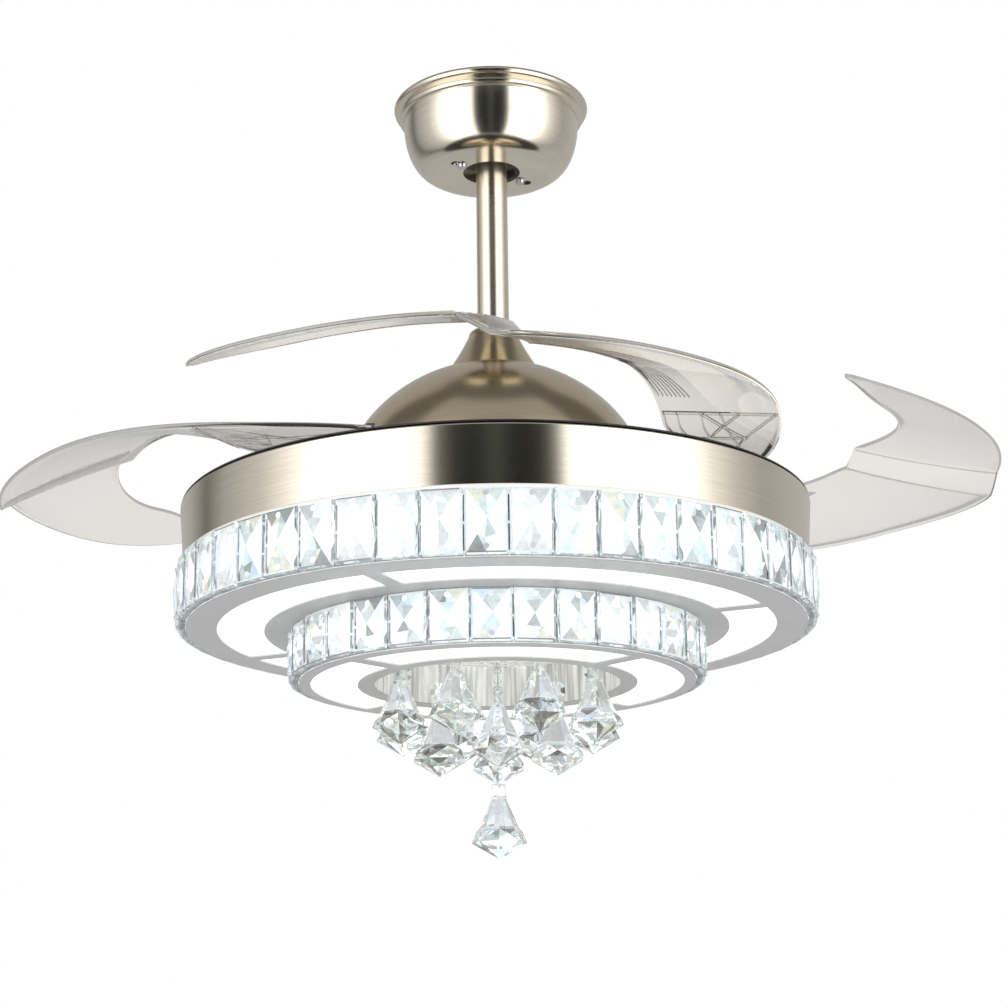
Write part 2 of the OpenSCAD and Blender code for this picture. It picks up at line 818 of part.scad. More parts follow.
// Height of a spring's wire, and one of its cross-sections, at a share k of its length
function spring_z(k) = spring_foot + spring_pitch * spring_turns * k;
function spring_section(k) =
    let (a = 360 * spring_turns * k)
    [for (s = [0:5]) let (w = s * 60)
        [(spring_r + spring_wire_r * cos(w)) * cos(a),
         (spring_r + spring_wire_r * cos(w)) * sin(a),
         spring_z(k) + spring_wire_r * sin(w)]];

// Skin of a tube of n rings of m points, closed at both ends
function tube_faces(n, m) = concat(
    [for (i = [0:n - 2], j = [0:m - 1])
        each [[i * m + j, i * m + (j + 1) % m, (i + 1) * m + j],
              [(i + 1) * m + j, i * m + (j + 1) % m, (i + 1) * m + (j + 1) % m]]],
    [for (j = [1:m - 2]) [0, j + 1, j]],
    [for (j = [1:m - 2]) [(n - 1) * m, (n - 1) * m + j, (n - 1) * m + j + 1]]
);

module return_springs() color([0.6, 0.6, 0.62]) {
    per_turn = 12;
    steps = ceil(per_turn * spring_turns);
    points = [for (i = [0:steps]) each spring_section(i / steps)];
    middle = [for (i = [0:steps]) let (a = 360 * spring_turns * i / steps)
        [spring_r * cos(a), spring_r * sin(a), spring_z(i / steps)]];
    gap = min([for (i = [0:steps - per_turn / 2], j = [i + per_turn / 2:steps])
        norm(middle[i] - middle[j])]) - 2 * spring_wire_r;
    echo(str("Least gap between the turns of a return spring: ", gap, " mm"));
    round_about(blade_count, pivot_at, pivot_dir)
        polyhedron(points, tube_faces(steps + 1, 6));
}

// Outer edge, inner edge and mid-height of the folded blade at the angle u
function blade_outer(u) =
    pivot_at + root_disc_r
    + (root_low_r - pivot_at - root_disc_r) * ease(20, 60, u)
    + (blade_reach - root_low_r) * ease(70, 115, u)
    - 18 * ramp(145, blade_span, u) * ramp(145, blade_span, u);
function blade_neck(u) =
    pivot_at - root_disc_r
    + (root_in_r - pivot_at + root_disc_r) * ease(2, 30, u)
    + (neck_in_r - root_in_r) * ease(85, 155, u);
function blade_inner(u) = blade_neck(u)
    + (blade_outer(u) - tip_w - blade_neck(u)) * pow(ramp(close_from, blade_span, u), 2.2);
function blade_z(r, u) = blade_flat
    + ease(15, 62, u) * (3 + blade_pitch * (root_low_r - r))
    + crease_step * ramp(crease_from, crease_to, u)
    + tip_rise * ramp(135, blade_span, u) * ramp(135, blade_span, u);

// Angles at which the blade's sheet has a section
function blade_stations() = concat(
    [for (u = [0:5:crease_from - 2]) u],
    [crease_from, (crease_from + crease_to) / 2, crease_to],
    [for (u = [crease_to + 4:5:blade_span - 8]) u],
    [blade_span - 5, blade_span - 2, blade_span - 0.6, blade_span]
);

// One section of the sheet: across its top and back along its underside
function blade_section(u) =
    let (
        across = 5,
        last = u >= blade_span ? 0.45 : 1,
        mid = (blade_outer(u) + blade_inner(u)) / 2,
        half = last * (blade_outer(u) - blade_inner(u)) / 2,
        a = pivot_dir - u
    )
    concat(
        [for (i = [0:across]) let (r = mid + half - 2 * half * i / across)
            [r * cos(a), r * sin(a), blade_z(r, u) + blade_t / 2]],
        [for (i = [across:-1:0]) let (r = mid + half - 2 * half * i / across)
            [r * cos(a), r * sin(a), blade_z(r, u) - blade_t / 2]]
    );

// Skin of a sheet of n sections of m points: strips between the sections, and both ends
function sheet_faces(n, m) = concat(
    [for (i = [0:n - 2], j = [0:m - 1])
        each [[i * m + j, (i + 1) * m + j, i * m + (j + 1) % m],
              [(i + 1) * m + j, (i + 1) * m + (j + 1) % m, i * m + (j + 1) % m]]],
    [for (j = [0:m / 2 - 2]) each [[j, j + 1, m - 1 - j], [j + 1, m - 2 - j, m - 1 - j]]],
    [for (j = [0:m / 2 - 2]) let (k = (n - 1) * m)
        each [[k + j, k + m - 1 - j, k + j + 1], [k + j + 1, k + m - 1 - j, k + m - 2 - j]]]
);

// Blade in its folded place round the axis
module folded_blade() {
    stations = blade_stations();
    points = [for (u = stations) each blade_section(u)];
    pivot = [pivot_at * cos(pivot_dir), pivot_at * sin(pivot_dir), 0];
    difference() {
        union() {
            polyhedron(points, sheet_faces(len(stations), 12));
            translate(pivot) {
                translate([0, 0, blade_flat - blade_t / 2]) cylinder(r = root_disc_r, h = blade_t);
                translate([0, 0, boss_foot]) cylinder(r = pivot_boss_r, h = boss_top - boss_foot);
                for (spread = [-28, 0, 28])
                    rotate([0, 0, pivot_dir - 90 + spread])
                        translate([rib_from, -rib_w / 2, blade_flat - blade_t / 2 - rib_h])
                            cube([rib_to - rib_from, rib_w, rib_h + blade_t / 2]);
            }
        }
        translate(pivot)
            translate([0, 0, boss_foot - cut])
                cylinder(r = pivot_r + running, h = boss_top - boss_foot + 2 * cut);
    }
}

// Blade swung open about its pivot
module open_blade(index) {
    pivot = [pivot_at * cos(pivot_dir), pivot_at * sin(pivot_dir), 0];
    color([0.86, 0.86, 0.85, 0.5])
        rotate([0, 0, -(index - 1) * 360 / blade_count])
            translate(pivot)
                rotate([0, 0, fold])
                    translate(-pivot)
                        folded_blade();
}
module blade_1() open_blade(1);
module blade_2() open_blade(2);
module blade_3() open_blade(3);
module blade_4() open_blade(4);

// ---- Lamp body ----

module lamp_pan() color([0.85, 0.85, 0.84]) {
    difference() {
        translate([0, 0, pan_foot]) cylinder(r = pan_r, h = plate_t, $fn = 128);
        translate([0, 0, pan_foot - cut]) cylinder(r = shaft_r + slip, h = plate_t + 2 * cut);
        round_about(6, 130, 30)
            translate([0, 0, pan_foot - cut]) cylinder(r = wire_way_r, h = plate_t + 2 * cut);
    }
}

module shaft_nut() color([0.75, 0.75, 0.77]) {
    translate([0, 0, pan_foot - nut_h])
        difference() {
            cylinder(r = nut_r, h = nut_h, $fn = 6);
            translate([0, 0, -cut]) cylinder(r = shaft_r + slip, h = nut_h + 2 * cut);
        }
}

module lamp_band() color([0.75, 0.73, 0.7]) {
    rotate_extrude($fn = 128)
        polygon([
            [band_foot_r, band_foot], [band_top_r, band_top - 1], [band_top_r - 0.5, band_top],
            [band_top_r - sheet_t - 1, band_top], [band_top_r - sheet_t, band_top - 1.5],
            [band_foot_r - sheet_t, band_foot]
        ]);
}

module led_driver() color([0.9, 0.9, 0.88]) {
    // Case with two ears, screwed up against the pan
    translate([0, driver_at + driver_w / 2, pan_foot]) {
        translate([-driver_len / 2, -driver_w / 2, -driver_h]) cube([driver_len, driver_w, driver_h]);
        for (end = [-1, 1])
            translate([end * (driver_len / 2 + ear_w / 2 - 1), 0, -ear_t / 2])
                difference() {
                    cube([ear_w, ear_len, ear_t], center = true);
                    translate([end * 2, 0, 0]) cylinder(r = 2, h = ear_t + cut, center = true);
                }
    }
}

module upper_drum() color([0.88, 0.88, 0.87]) {
    difference() {
        drum_wall(upper_drum_r, pan_foot, upper_plate_top);
        at_pins(upper_count, upper_back, upper_block_h, upper_block_foot, upper_block_dir) pin_hole();
    }
}

// Drum wall from a top height to a foot height
module drum_wall(r, top, foot) {
    translate([0, 0, foot]) washer(r - sheet_t, r, top - foot, $fn = 128);
}

// Places of the pins of one ring of blocks: +Z of each place points outwards, from the block's back
module at_pins(count, back, h, foot, dir) {
    round_about(count, back, dir)
        for (end = [-1, 1])
            translate([0, 0, foot + h / 2 + end * (h / 2 - pin_inset)])
                rotate([0, 90, 0])
                    children();
}

// Hole for a pin through a drum's wall
module pin_hole() {
    translate([0, 0, -sheet_t - cut])
        cylinder(r = pin_r + screw_slip, h = sheet_t + 2 * cut);
}

module upper_reflector() color([0.95, 0.95, 0.94]) {
    // White shelf inside the drum that the lamp board is glued under
    translate([0, 0, reflector_z])
        washer(upper_window_in - 12, upper_drum_r - sheet_t, plate_t, $fn = 128);
}

// Lamp board: a flat ring with a small light every few degrees
module board(r_in, r_out, top, lights) {
    translate([0, 0, top - board_t]) washer(r_in, r_out, board_t);
    round_about(lights, (r_in + r_out) / 2, 0)
        translate([-light_w / 2, -light_w / 2, top - board_t - light_h])
            cube([light_w, light_w, light_h + board_t / 2]);
}

module upper_led_board() color([0.95, 0.95, 0.9])
    board(upper_window_in + board_margin, upper_window_out - board_margin, reflector_z, upper_lights);

module lower_led_board() color([0.95, 0.95, 0.9])
    board(lower_window_in + board_margin, lower_window_out - board_margin, upper_plate_foot, lower_lights);

// Trim plate with four light windows, parted by bars with straight sides
module window_plate(r_in, r_out, window_in, window_out, foot, bar_dir) {
    translate([0, 0, foot])
        difference() {
            washer(r_in, r_out, plate_t, $fn = 128);
            for (i = [0:3])
                rotate([0, 0, bar_dir + i * 90])
                    translate([0, 0, -cut])
                        linear_extrude(plate_t + 2 * cut) window(window_in, window_out, bar_w / 2);
        }
}

// Outline of a quarter-circle window between two bars
module window(r_in, r_out, off) {
    intersection() {
        difference() {
            circle(r = r_out, $fn = 128);
            circle(r = r_in, $fn = 128);
        }
        translate([off, off]) square(r_out);
    }
}

module upper_plate() color([0.7, 0.69, 0.67])
    window_plate(recess_r + 6, upper_drum_r, upper_window_in, upper_window_out,
        upper_plate_foot, upper_bar_dir);

module lower_plate() color([0.7, 0.69, 0.67])
    window_plate(recess_r, lower_drum_r, lower_window_in, lower_window_out,
        lower_plate_foot, lower_bar_dir);

// White panes that lie on a trim plate and cover its windows
module panes(window_in, window_out, foot, bar_dir) {
    for (i = [0:3])
        rotate([0, 0, bar_dir + i * 90])
            translate([0, 0, foot])
                linear_extrude(pane_t)
                    window(window_in - pane_lap, window_out + pane_lap, bar_w / 2 - pane_lap);
}

module upper_panes() color([1, 1, 1])
    panes(upper_window_in, upper_window_out, upper_plate_top, upper_bar_dir);

module lower_panes() color([1, 1, 1])
    panes(lower_window_in, lower_window_out, lower_plate_top, lower_bar_dir);

// Crystal block on its back, its length along Y, its front cut to a low four-sided peak
module block(w, h) {
    flat = block_t - block_peak;
    polyhedron(
        [[-w / 2, -h / 2, 0], [w / 2, -h / 2, 0], [w / 2, h / 2, 0], [-w / 2, h / 2, 0],
         [-w / 2, -h / 2, flat], [w / 2, -h / 2, flat], [w / 2, h / 2, flat], [-w / 2, h / 2, flat],
         [0, 0, block_t]],
        [[0, 1, 2, 3], [0, 4, 5, 1], [1, 5, 6, 2], [2, 6, 7, 3], [3, 7, 4, 0],
         [4, 8, 5], [5, 8, 6], [6, 8, 7], [7, 8, 4]]
    );
}

// Ring of blocks that stand on edge, with their backs on a drum and room for their pins
module block_ring(count, back, h, foot, dir) {
    w = 2 * back * tan(180 / count) - block_gap;
    round_about(count, back, dir)
        translate([0, 0, foot + h / 2])
            difference() {
                rotate([90, 0, 90]) block(w, h);
                for (end = [-1, 1])
                    translate([-cut, 0, end * (h / 2 - pin_inset)])
                        rotate([0, 90, 0])
                            cylinder(r = pin_r + screw_slip, h = block_t + 2 * cut);
            }
}

// Pin with its shank through drum and block, and a round head that clears the block's slope
module pin(h) {
    slope = 2 * block_peak / h;
    shank = pin_tail + sheet_t + block_t - block_peak + slope * (pin_inset + pin_head_r) + slip;
    translate([0, 0, -sheet_t - pin_tail]) {
        cylinder(r = pin_r, h = shank + pin_head_h);
        translate([0, 0, shank]) cylinder(r = pin_head_r, h = pin_head_h);
    }
}

module upper_crystals() color([0.93, 0.96, 0.98])
    block_ring(upper_count, upper_back, upper_block_h, upper_block_foot, upper_block_dir);

module lower_crystals() color([0.93, 0.96, 0.98])
    block_ring(lower_count, lower_back, lower_block_h, lower_block_foot, lower_block_dir);

module crystal_pins() color([0.8, 0.8, 0.82]) {
    at_pins(upper_count, upper_back, upper_block_h, upper_block_foot, upper_block_dir)
        pin(upper_block_h);
    at_pins(lower_count, lower_back, lower_block_h, lower_block_foot, lower_block_dir)
        pin(lower_block_h);
}

module lower_drum() color([0.88, 0.88, 0.87]) {
    difference() {
        drum_wall(lower_drum_r, upper_plate_foot, lower_plate_top);
        at_pins(lower_count, lower_back, lower_block_h, lower_block_foot, lower_block_dir) pin_hole();
    }
}

module recess_wall() color([0.9, 0.9, 0.92]) {
    // Short tube round the recess, with a shoulder inside its top for the hook plate
    difference() {
        translate([0, 0, lower_plate_top])
            washer(recess_r - 0.5, recess_r + 2, hook_z + plate_t - lower_plate_top, $fn = 128);
        translate([0, 0, hook_z]) cylinder(r = recess_r + 0.5, h = plate_t + cut, $fn = 128);
    }
}

module hook_plate() color([0.82, 0.81, 0.8]) {
    translate([0, 0, hook_z])
        difference() {
            cylinder(r = recess_r + 0.45, h = plate_t, $fn = 128);
            round_about(3, (outer_drop_at + inner_drop_at) / 2, 75)
                translate([0, 0, -cut]) cylinder(r = 3, h = plate_t + 2 * cut);
        }
}

// ---- Drops ----

// Eye under the hook plate: a stem and a ring whose plane holds the axis of swing
module eye() {
    translate([0, 0, eye_z]) wire_ring(eye_r, eye_wire_r);
    translate([0, 0, eye_z + eye_r]) cylinder(r = eye_wire_r + 0.15, h = eye_stem);
}

module hook_eyes() color([0.8, 0.8, 0.82]) {
    round_about(outer_drop_count, outer_drop_at, outer_drop_dir) eye();
    round_about(inner_drop_count, inner_drop_at, inner_drop_dir) eye();
    eye();
}

// Rings of a drop's outline: depth below its top, and radius
function drop_rings() = [
    [0, drop_neck_r - 0.6], [1.2, drop_neck_r], [drop_h * 0.18, drop_neck_r * 1.05],
    [drop_h * 0.35, drop_neck_r * 1.05 + (drop_r - drop_neck_r) * 0.27],
    [drop_h * 0.56, drop_neck_r * 1.05 + (drop_r - drop_neck_r) * 0.66],
    [drop_h * 0.77, drop_r], [drop_h * 0.81, drop_r * 0.97], [drop_h, 0.6]
];

// Eight-sided crystal drop, hung from the centre of the hole in its flattened neck
module crystal_drop() {
    rings = drop_rings();
    points = [for (ring = rings, s = [0:7])
        [ring[1] * cos(s * 45 + 22.5), ring[1] * sin(s * 45 + 22.5), drop_hole - ring[0]]];
    difference() {
        polyhedron(points, tube_faces(len(rings), 8));
        for (side = [0, 180])
            rotate([0, 0, side])
                translate([-drop_neck_r - cut, drop_neck_t / 2, drop_hole - drop_neck_h])
                    cube([2 * drop_neck_r + 2 * cut, drop_neck_r, drop_neck_h + cut]);
        rotate([90, 0, 0])
            cylinder(r = ring_wire_r + 1, h = 2 * drop_neck_r, center = true);
    }
}

// Flat eight-sided bead with a hole near its top and its foot, hung from its upper hole
module bead() {
    translate([0, 0, bead_hole - bead_h / 2])
        rotate([90, 0, 0])
            difference() {
                cylinder(r = bead_h / 2 / cos(22.5), h = bead_t, $fn = 8, center = true);
                for (end = [-1, 1])
                    translate([0, end * (bead_h / 2 - bead_hole), 0])
                        cylinder(r = ring_wire_r + 0.7, h = bead_t + 2, center = true);
            }
}

// Bead, second ring and crystal, hung from the wire that passes through the bead's upper hole
module bead_and_drop() {
    lower_hole = 2 * bead_hole - bead_h;
    bead();
    translate([0, 0, lower_hole - second_ring_r])
        rotate([0, 0, 90]) wire_ring(second_ring_r, ring_wire_r);
    translate([0, 0, lower_hole - 2 * second_ring_r]) crystal_drop();
}

// Drop with its rings and bead, hung in an eye at the axis
module hung_drop(extra) {
    translate([0, 0, first_ring_z]) rotate([0, 0, 90]) wire_ring(ring_r, ring_wire_r);
    translate([0, 0, first_ring_z - ring_r]) {
        translate([0, 0, -extra]) bead_and_drop();
        if (extra > 0) wire_link(extra);
    }
}

// Straight wire with a small eye at its top and a ring at its foot
module wire_link(length) {
    small = ring_r * 0.62;
    top = link_hang - small;
    translate([0, 0, top]) wire_ring(small, ring_wire_r);
    translate([0, 0, ring_r - length]) rotate([0, 0, 90]) wire_ring(ring_r, ring_wire_r);
    translate([0, 0, 2 * ring_r - length])
        cylinder(r = ring_wire_r, h = top - small - 2 * ring_r + length);
}

module outer_drop(index) color([0.93, 0.95, 0.97])
    rotate([0, 0, outer_drop_dir + (index - 1) * 360 / outer_drop_count])
        translate([outer_drop_at, 0, 0]) hung_drop(0);
module outer_drop_1() outer_drop(1);
module outer_drop_2() outer_drop(2);
module outer_drop_3() outer_drop(3);
module outer_drop_4() outer_drop(4);
module outer_drop_5() outer_drop(5);
module outer_drop_6() outer_drop(6);
module outer_drop_7() outer_drop(7);
module outer_drop_8() outer_drop(8);

module inner_drop(index) color([0.93, 0.95, 0.97])
    rotate([0, 0, inner_drop_dir + (index - 1) * 360 / inner_drop_count])
        translate([inner_drop_at, 0, 0]) hung_drop(inner_wire);
module inner_drop_1() inner_drop(1);
module inner_drop_2() inner_drop(2);
module inner_drop_3() inner_drop(3);
module inner_drop_4() inner_drop(4);

module centre_drop() color([0.93, 0.95, 0.97]) {
    // Chain of small links, each turned a quarter against the last, then a ring and the drop
    last = first_ring_z - (chain_links - 1) * link_step;
    ring = last - ring_r + link_hang - second_ring_r;
    for (i = [0:chain_links - 1])
        translate([0, 0, first_ring_z - i * link_step])
            rotate([0, 0, (i + 1) * 90]) wire_ring(ring_r, ring_wire_r);
    rotate([0, 0, chain_links * 90]) {
        translate([0, 0, ring]) rotate([0, 0, 90]) wire_ring(second_ring_r, ring_wire_r);
        translate([0, 0, ring - second_ring_r]) crystal_drop();
    }
}

ceiling_bracket();
canopy();
canopy_screws();
receiver_box();
ball_seat_ring();
hanger_ball();
ball_pin();
downrod();
yoke_cover();
motor_yoke();
yoke_pin();
yoke_screws();
motor_shaft();
motor_dome();
stator_core();
stator_windings();
bearings();
rotor_bell();
rotor_magnets();
blade_tray();
pivot_posts();
pivot_caps();
return_springs();
blade_1();
blade_2();
blade_3();
blade_4();
lamp_pan();
shaft_nut();
lamp_band();
led_driver();
upper_drum();
upper_reflector();
upper_led_board();
upper_panes();
upper_plate();
upper_crystals();
crystal_pins();
lower_drum();
lower_led_board();
lower_panes();
lower_plate();
lower_crystals();
recess_wall();
hook_plate();
hook_eyes();
outer_drop_1();
outer_drop_2();
outer_drop_3();
outer_drop_4();
outer_drop_5();
outer_drop_6();
outer_drop_7();
outer_drop_8();
inner_drop_1();
inner_drop_2();
inner_drop_3();
inner_drop_4();
centre_drop();
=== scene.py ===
import math
import random

import bmesh
import bpy
from mathutils import Matrix, Vector


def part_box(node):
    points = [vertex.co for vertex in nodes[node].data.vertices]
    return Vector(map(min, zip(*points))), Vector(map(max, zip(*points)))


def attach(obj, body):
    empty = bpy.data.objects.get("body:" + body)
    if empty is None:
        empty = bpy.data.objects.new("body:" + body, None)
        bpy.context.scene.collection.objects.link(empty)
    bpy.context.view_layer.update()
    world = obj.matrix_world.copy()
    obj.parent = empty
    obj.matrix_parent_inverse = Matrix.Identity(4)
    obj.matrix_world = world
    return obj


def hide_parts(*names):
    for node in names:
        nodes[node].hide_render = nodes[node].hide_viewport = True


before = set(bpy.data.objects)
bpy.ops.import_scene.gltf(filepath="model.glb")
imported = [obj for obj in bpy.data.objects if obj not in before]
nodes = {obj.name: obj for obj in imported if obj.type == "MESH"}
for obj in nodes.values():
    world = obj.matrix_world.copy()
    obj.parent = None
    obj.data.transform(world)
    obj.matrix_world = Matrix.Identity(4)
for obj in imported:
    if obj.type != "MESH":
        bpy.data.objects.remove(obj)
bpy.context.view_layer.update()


# ---- Ceiling bracket ----
# Pressed steel plate with two slots and two arms that hold the ball seat. It is zinc plated, so it
# shows a faint crystal spangle. The canopy hides it from below.

PLATED_STEEL = (0.56, 0.57, 0.58)
SPANGLE_SIZE = 0.006


def new_finish(name, colour, metal, rough):
    """Blank finish. Values that are the same all over are set on the shader's own sockets."""
    material = bpy.data.materials.new(name)
    material.use_nodes = True
    shader = material.node_tree.nodes["Principled BSDF"]
    shader.inputs["Base Color"].default_value = (*colour, 1)
    shader.inputs["Metallic"].default_value = metal
    shader.inputs["Roughness"].default_value = rough
    return material, material.node_tree, shader


def cloud(tree, size, stretch=(1, 1, 1), detail=3):
    """Soft mottling over the piece, its patches about one size across, in metres."""
    place = tree.nodes.new("ShaderNodeTexCoord")
    mapping = tree.nodes.new("ShaderNodeMapping")
    noise = tree.nodes.new("ShaderNodeTexNoise")
    mapping.inputs["Scale"].default_value = [s / size for s in stretch]
    noise.inputs["Scale"].default_value = 1
    noise.inputs["Detail"].default_value = detail
    tree.links.new(place.outputs["Object"], mapping.inputs["Vector"])
    tree.links.new(mapping.outputs["Vector"], noise.inputs["Vector"])
    return noise.outputs["Fac"]


def two_tone(tree, pattern, first, second, socket, low=0.35, high=0.65):
    """Runs a colour from first to second as the pattern rises from low to high."""
    ramp = tree.nodes.new("ShaderNodeValToRGB")
    ramp.color_ramp.elements[0].position = low
    ramp.color_ramp.elements[1].position = high
    ramp.color_ramp.elements[0].color = (*first, 1)
    ramp.color_ramp.elements[1].color = (*second, 1)
    tree.links.new(pattern, ramp.inputs["Fac"])
    tree.links.new(ramp.outputs["Color"], socket)


def vary(tree, pattern, first, second, socket):
    """Runs a number from first to second with the pattern."""
    change = tree.nodes.new("ShaderNodeMapRange")
    change.inputs["From Min"].default_value = 0.3
    change.inputs["From Max"].default_value = 0.7
    change.inputs["To Min"].default_value = first
    change.inputs["To Max"].default_value = second
    tree.links.new(pattern, change.inputs["Value"])
    tree.links.new(change.outputs["Result"], socket)


def relief(tree, shader, pattern, height):
    """Raises the surface by a height in metres where the pattern is high."""
    bump = tree.nodes.new("ShaderNodeBump")
    bump.inputs["Strength"].default_value = 1
    bump.inputs["Distance"].default_value = height
    tree.links.new(pattern, bump.inputs["Height"])
    tree.links.new(bump.outputs["Normal"], shader.inputs["Normal"])


def tone(colour, share):
    """The same colour, lighter or darker."""
    return tuple(min(1, c * share) for c in colour)


def mottle(tree, shader, pattern, colour, dark, light, low=0.35, high=0.65):
    """Runs the base colour between two tones of one colour."""
    two_tone(tree, pattern, tone(colour, dark), tone(colour, light), shader.inputs["Base Color"],
             low, high)


def dress(names, material):
    """Gives carried-over pieces their finish."""
    for name in names:
        piece = nodes[name]
        piece.data.materials.clear()
        piece.data.materials.append(material)


plated_steel, tree, shader = new_finish("plated_steel", PLATED_STEEL, 1, 0.38)
spangle = tree.nodes.new("ShaderNodeTexVoronoi")
spangle.inputs["Scale"].default_value = 1 / SPANGLE_SIZE
place = tree.nodes.new("ShaderNodeTexCoord")
tree.links.new(place.outputs["Object"], spangle.inputs["Vector"])
mottle(tree, shader, spangle.outputs["Color"], PLATED_STEEL, 0.9, 1.08, 0.2, 0.8)
vary(tree, cloud(tree, 0.02), 0.3, 0.45, shader.inputs["Roughness"])
dress(["ceiling_bracket"], plated_steel)


# ---- Ball, seat ring and receiver ----
# The rod hangs from a die-cast ball in a nylon ring. The white moulded case beside it is the remote
# receiver, and the lamp driver has one like it. Both plastics have the soft skin of a moulding. The
# motor's yoke is cast like the ball.

NYLON = (0.84, 0.83, 0.79)
WHITE_CASE = (0.8, 0.8, 0.77)
CAST_GREY = (0.42, 0.42, 0.43)
MOULD_GRAIN = 0.0008


def moulded(name, colour, rough):
    """Moulded plastic: a fine grain, and a little dirt in broad patches."""
    material, tree, shader = new_finish(name, colour, 0, rough)
    mottle(tree, shader, cloud(tree, 0.03), colour, 0.95, 1)
    vary(tree, cloud(tree, MOULD_GRAIN * 4), rough - 0.05, rough + 0.07, shader.inputs["Roughness"])
    relief(tree, shader, cloud(tree, MOULD_GRAIN), 0.00002)
    return material


dress(["ball_seat_ring"], moulded("white_nylon", NYLON, 0.45))
white_case = moulded("white_case", WHITE_CASE, 0.38)
dress(["receiver_box", "led_driver"], white_case)

cast_metal, tree, shader = new_finish("cast_metal", CAST_GREY, 1, 0.42)
mottle(tree, shader, cloud(tree, 0.004), CAST_GREY, 0.88, 1.1)
relief(tree, shader, cloud(tree, 0.0015), 0.00003)
dress(["hanger_ball", "motor_yoke"], cast_metal)


# ---- Pins, screws and turned parts ----
# Steel pins, screws, pivots and springs, the hollow shaft with its nut and bearings, and the rotor's
# bell. Most are turned or rolled, so fine lines run round them.

TURNED_STEEL = (0.6, 0.6, 0.61)
TURNING_PITCH = 0.0006

turned_steel, tree, shader = new_finish("turned_steel", TURNED_STEEL, 1, 0.27)
turning = cloud(tree, TURNING_PITCH, (0.02, 0.02, 1), 2)
mottle(tree, shader, turning, TURNED_STEEL, 0.86, 1.12)
vary(tree, turning, 0.2, 0.34, shader.inputs["Roughness"])
dress(["canopy_screws", "ball_pin", "yoke_pin", "yoke_screws", "motor_shaft", "bearings", "shaft_nut",
       "pivot_posts", "pivot_caps", "return_springs", "rotor_bell"], turned_steel)


# ---- Canopy ----
# Spun cap against the ceiling, with two rolled beads round its rim and keyholes for two screws in its
# foot. Its brushed nickel plate has fine lines that run round the axis.

NICKEL = (0.78, 0.715, 0.6)
BRUSH_PITCH = 0.0005
SPIN_STEPS = 192
SHARP_FROM = math.radians(35)

canopy_low, canopy_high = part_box("canopy")
canopy_r = canopy_high.x
canopy_foot = canopy_low.z
bead_r = 0.003
canopy_flat_r = 0.045
canopy_hole_r = 0.0233
canopy_sheet = 0.0012
bowl_top = -0.014
bowl_inset = 0.008
bead_step = 0.004
bead_gap = 0.001
screw_at = 0.029
keyhole_slot_half = 0.0021
keyhole_round_r = 0.0043
keyhole_length = 0.006
keyhole_cut_h = 0.006
keyhole_turn = math.radians(35)


def brushed(name, colour, rough):
    """Plated sheet brushed in rings: the reflections spread up and down, across the lines."""
    material, tree, shader = new_finish(name, colour, 1, rough)
    lines = cloud(tree, BRUSH_PITCH, (0.012, 0.012, 1), 4)
    wear = cloud(tree, 0.09, (1, 1, 0.6), 2)
    mottle(tree, shader, lines, colour, 0.93, 1.04)
    vary(tree, wear, rough - 0.01, rough + 0.02, shader.inputs["Roughness"])
    shader.inputs["Anisotropic"].default_value = 0.6
    shader.inputs["Anisotropic Rotation"].default_value = 0.25
    tangent = tree.nodes.new("ShaderNodeTangent")
    tangent.direction_type = "RADIAL"
    tangent.axis = "Z"
    tree.links.new(tangent.outputs["Tangent"], shader.inputs["Tangent"])
    relief(tree, shader, lines, 0.000004)
    return material


def mesh_of(name, form, closed=True):
    """Turns a finished form into a mesh. The faces of a closed one are made to point outwards."""
    if closed:
        bmesh.ops.recalc_face_normals(form, faces=form.faces)
    mesh = bpy.data.meshes.new(name)
    form.to_mesh(mesh)
    form.free()
    return mesh


def placed(name, data):
    """Puts a new object into the scene."""
    item = bpy.data.objects.new(name, data)
    bpy.context.scene.collection.objects.link(item)
    return item


def stand_in(name, mesh, material, body, slot, *replaced):
    """Adds a finished mesh as a piece that rides on a body in place of its CAD nodes."""
    piece = placed(name, mesh)
    mesh.materials.clear()
    mesh.materials.append(material)
    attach(piece, body)
    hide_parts(*replaced)
    return piece


def turn_outline(form, centre, outline, steps):
    """Turns a closed outline of (radius, height) points round an upright line through a point."""
    rings = []
    for radius, height in outline:
        ring = []
        for i in range(steps):
            a = 2 * math.pi * i / steps
            spot = Vector((radius * math.cos(a), radius * math.sin(a), height))
            ring.append(form.verts.new(centre + spot))
        rings.append(ring)
    for first, second in zip(rings, rings[1:] + rings[:1]):
        for i in range(steps):
            j = (i + 1) % steps
            form.faces.new((first[i], first[j], second[j], second[i]))


def spun_mesh(name, outline, steps=SPIN_STEPS):
    """Mesh of a closed outline turned round the Z axis."""
    form = bmesh.new()
    turn_outline(form, Vector(), outline, steps)
    mesh = mesh_of(name, form)
    mesh.shade_smooth()
    mesh.set_sharp_from_angle(angle=SHARP_FROM)
    return mesh


def walled(outline, wall):
    """Closes a sheet's outer outline with the same outline one wall further in."""
    inner = []
    for i, (r, z) in enumerate(outline):
        before = outline[max(0, i - 1)]
        after = outline[min(len(outline) - 1, i + 1)]
        run, rise = after[0] - before[0], after[1] - before[1]
        length = math.hypot(run, rise)
        inner.append((r + rise / length * wall, z - run / length * wall))
    return outline + inner[::-1]


def arc(centre, radius, first, last, steps):
    """Points on an arc, its angles in degrees."""
    points = []
    for i in range(steps + 1):
        angle = math.radians(first + (last - first) * i / steps)
        points.append((centre[0] + radius * math.cos(angle), centre[1] + radius * math.sin(angle)))
    return points


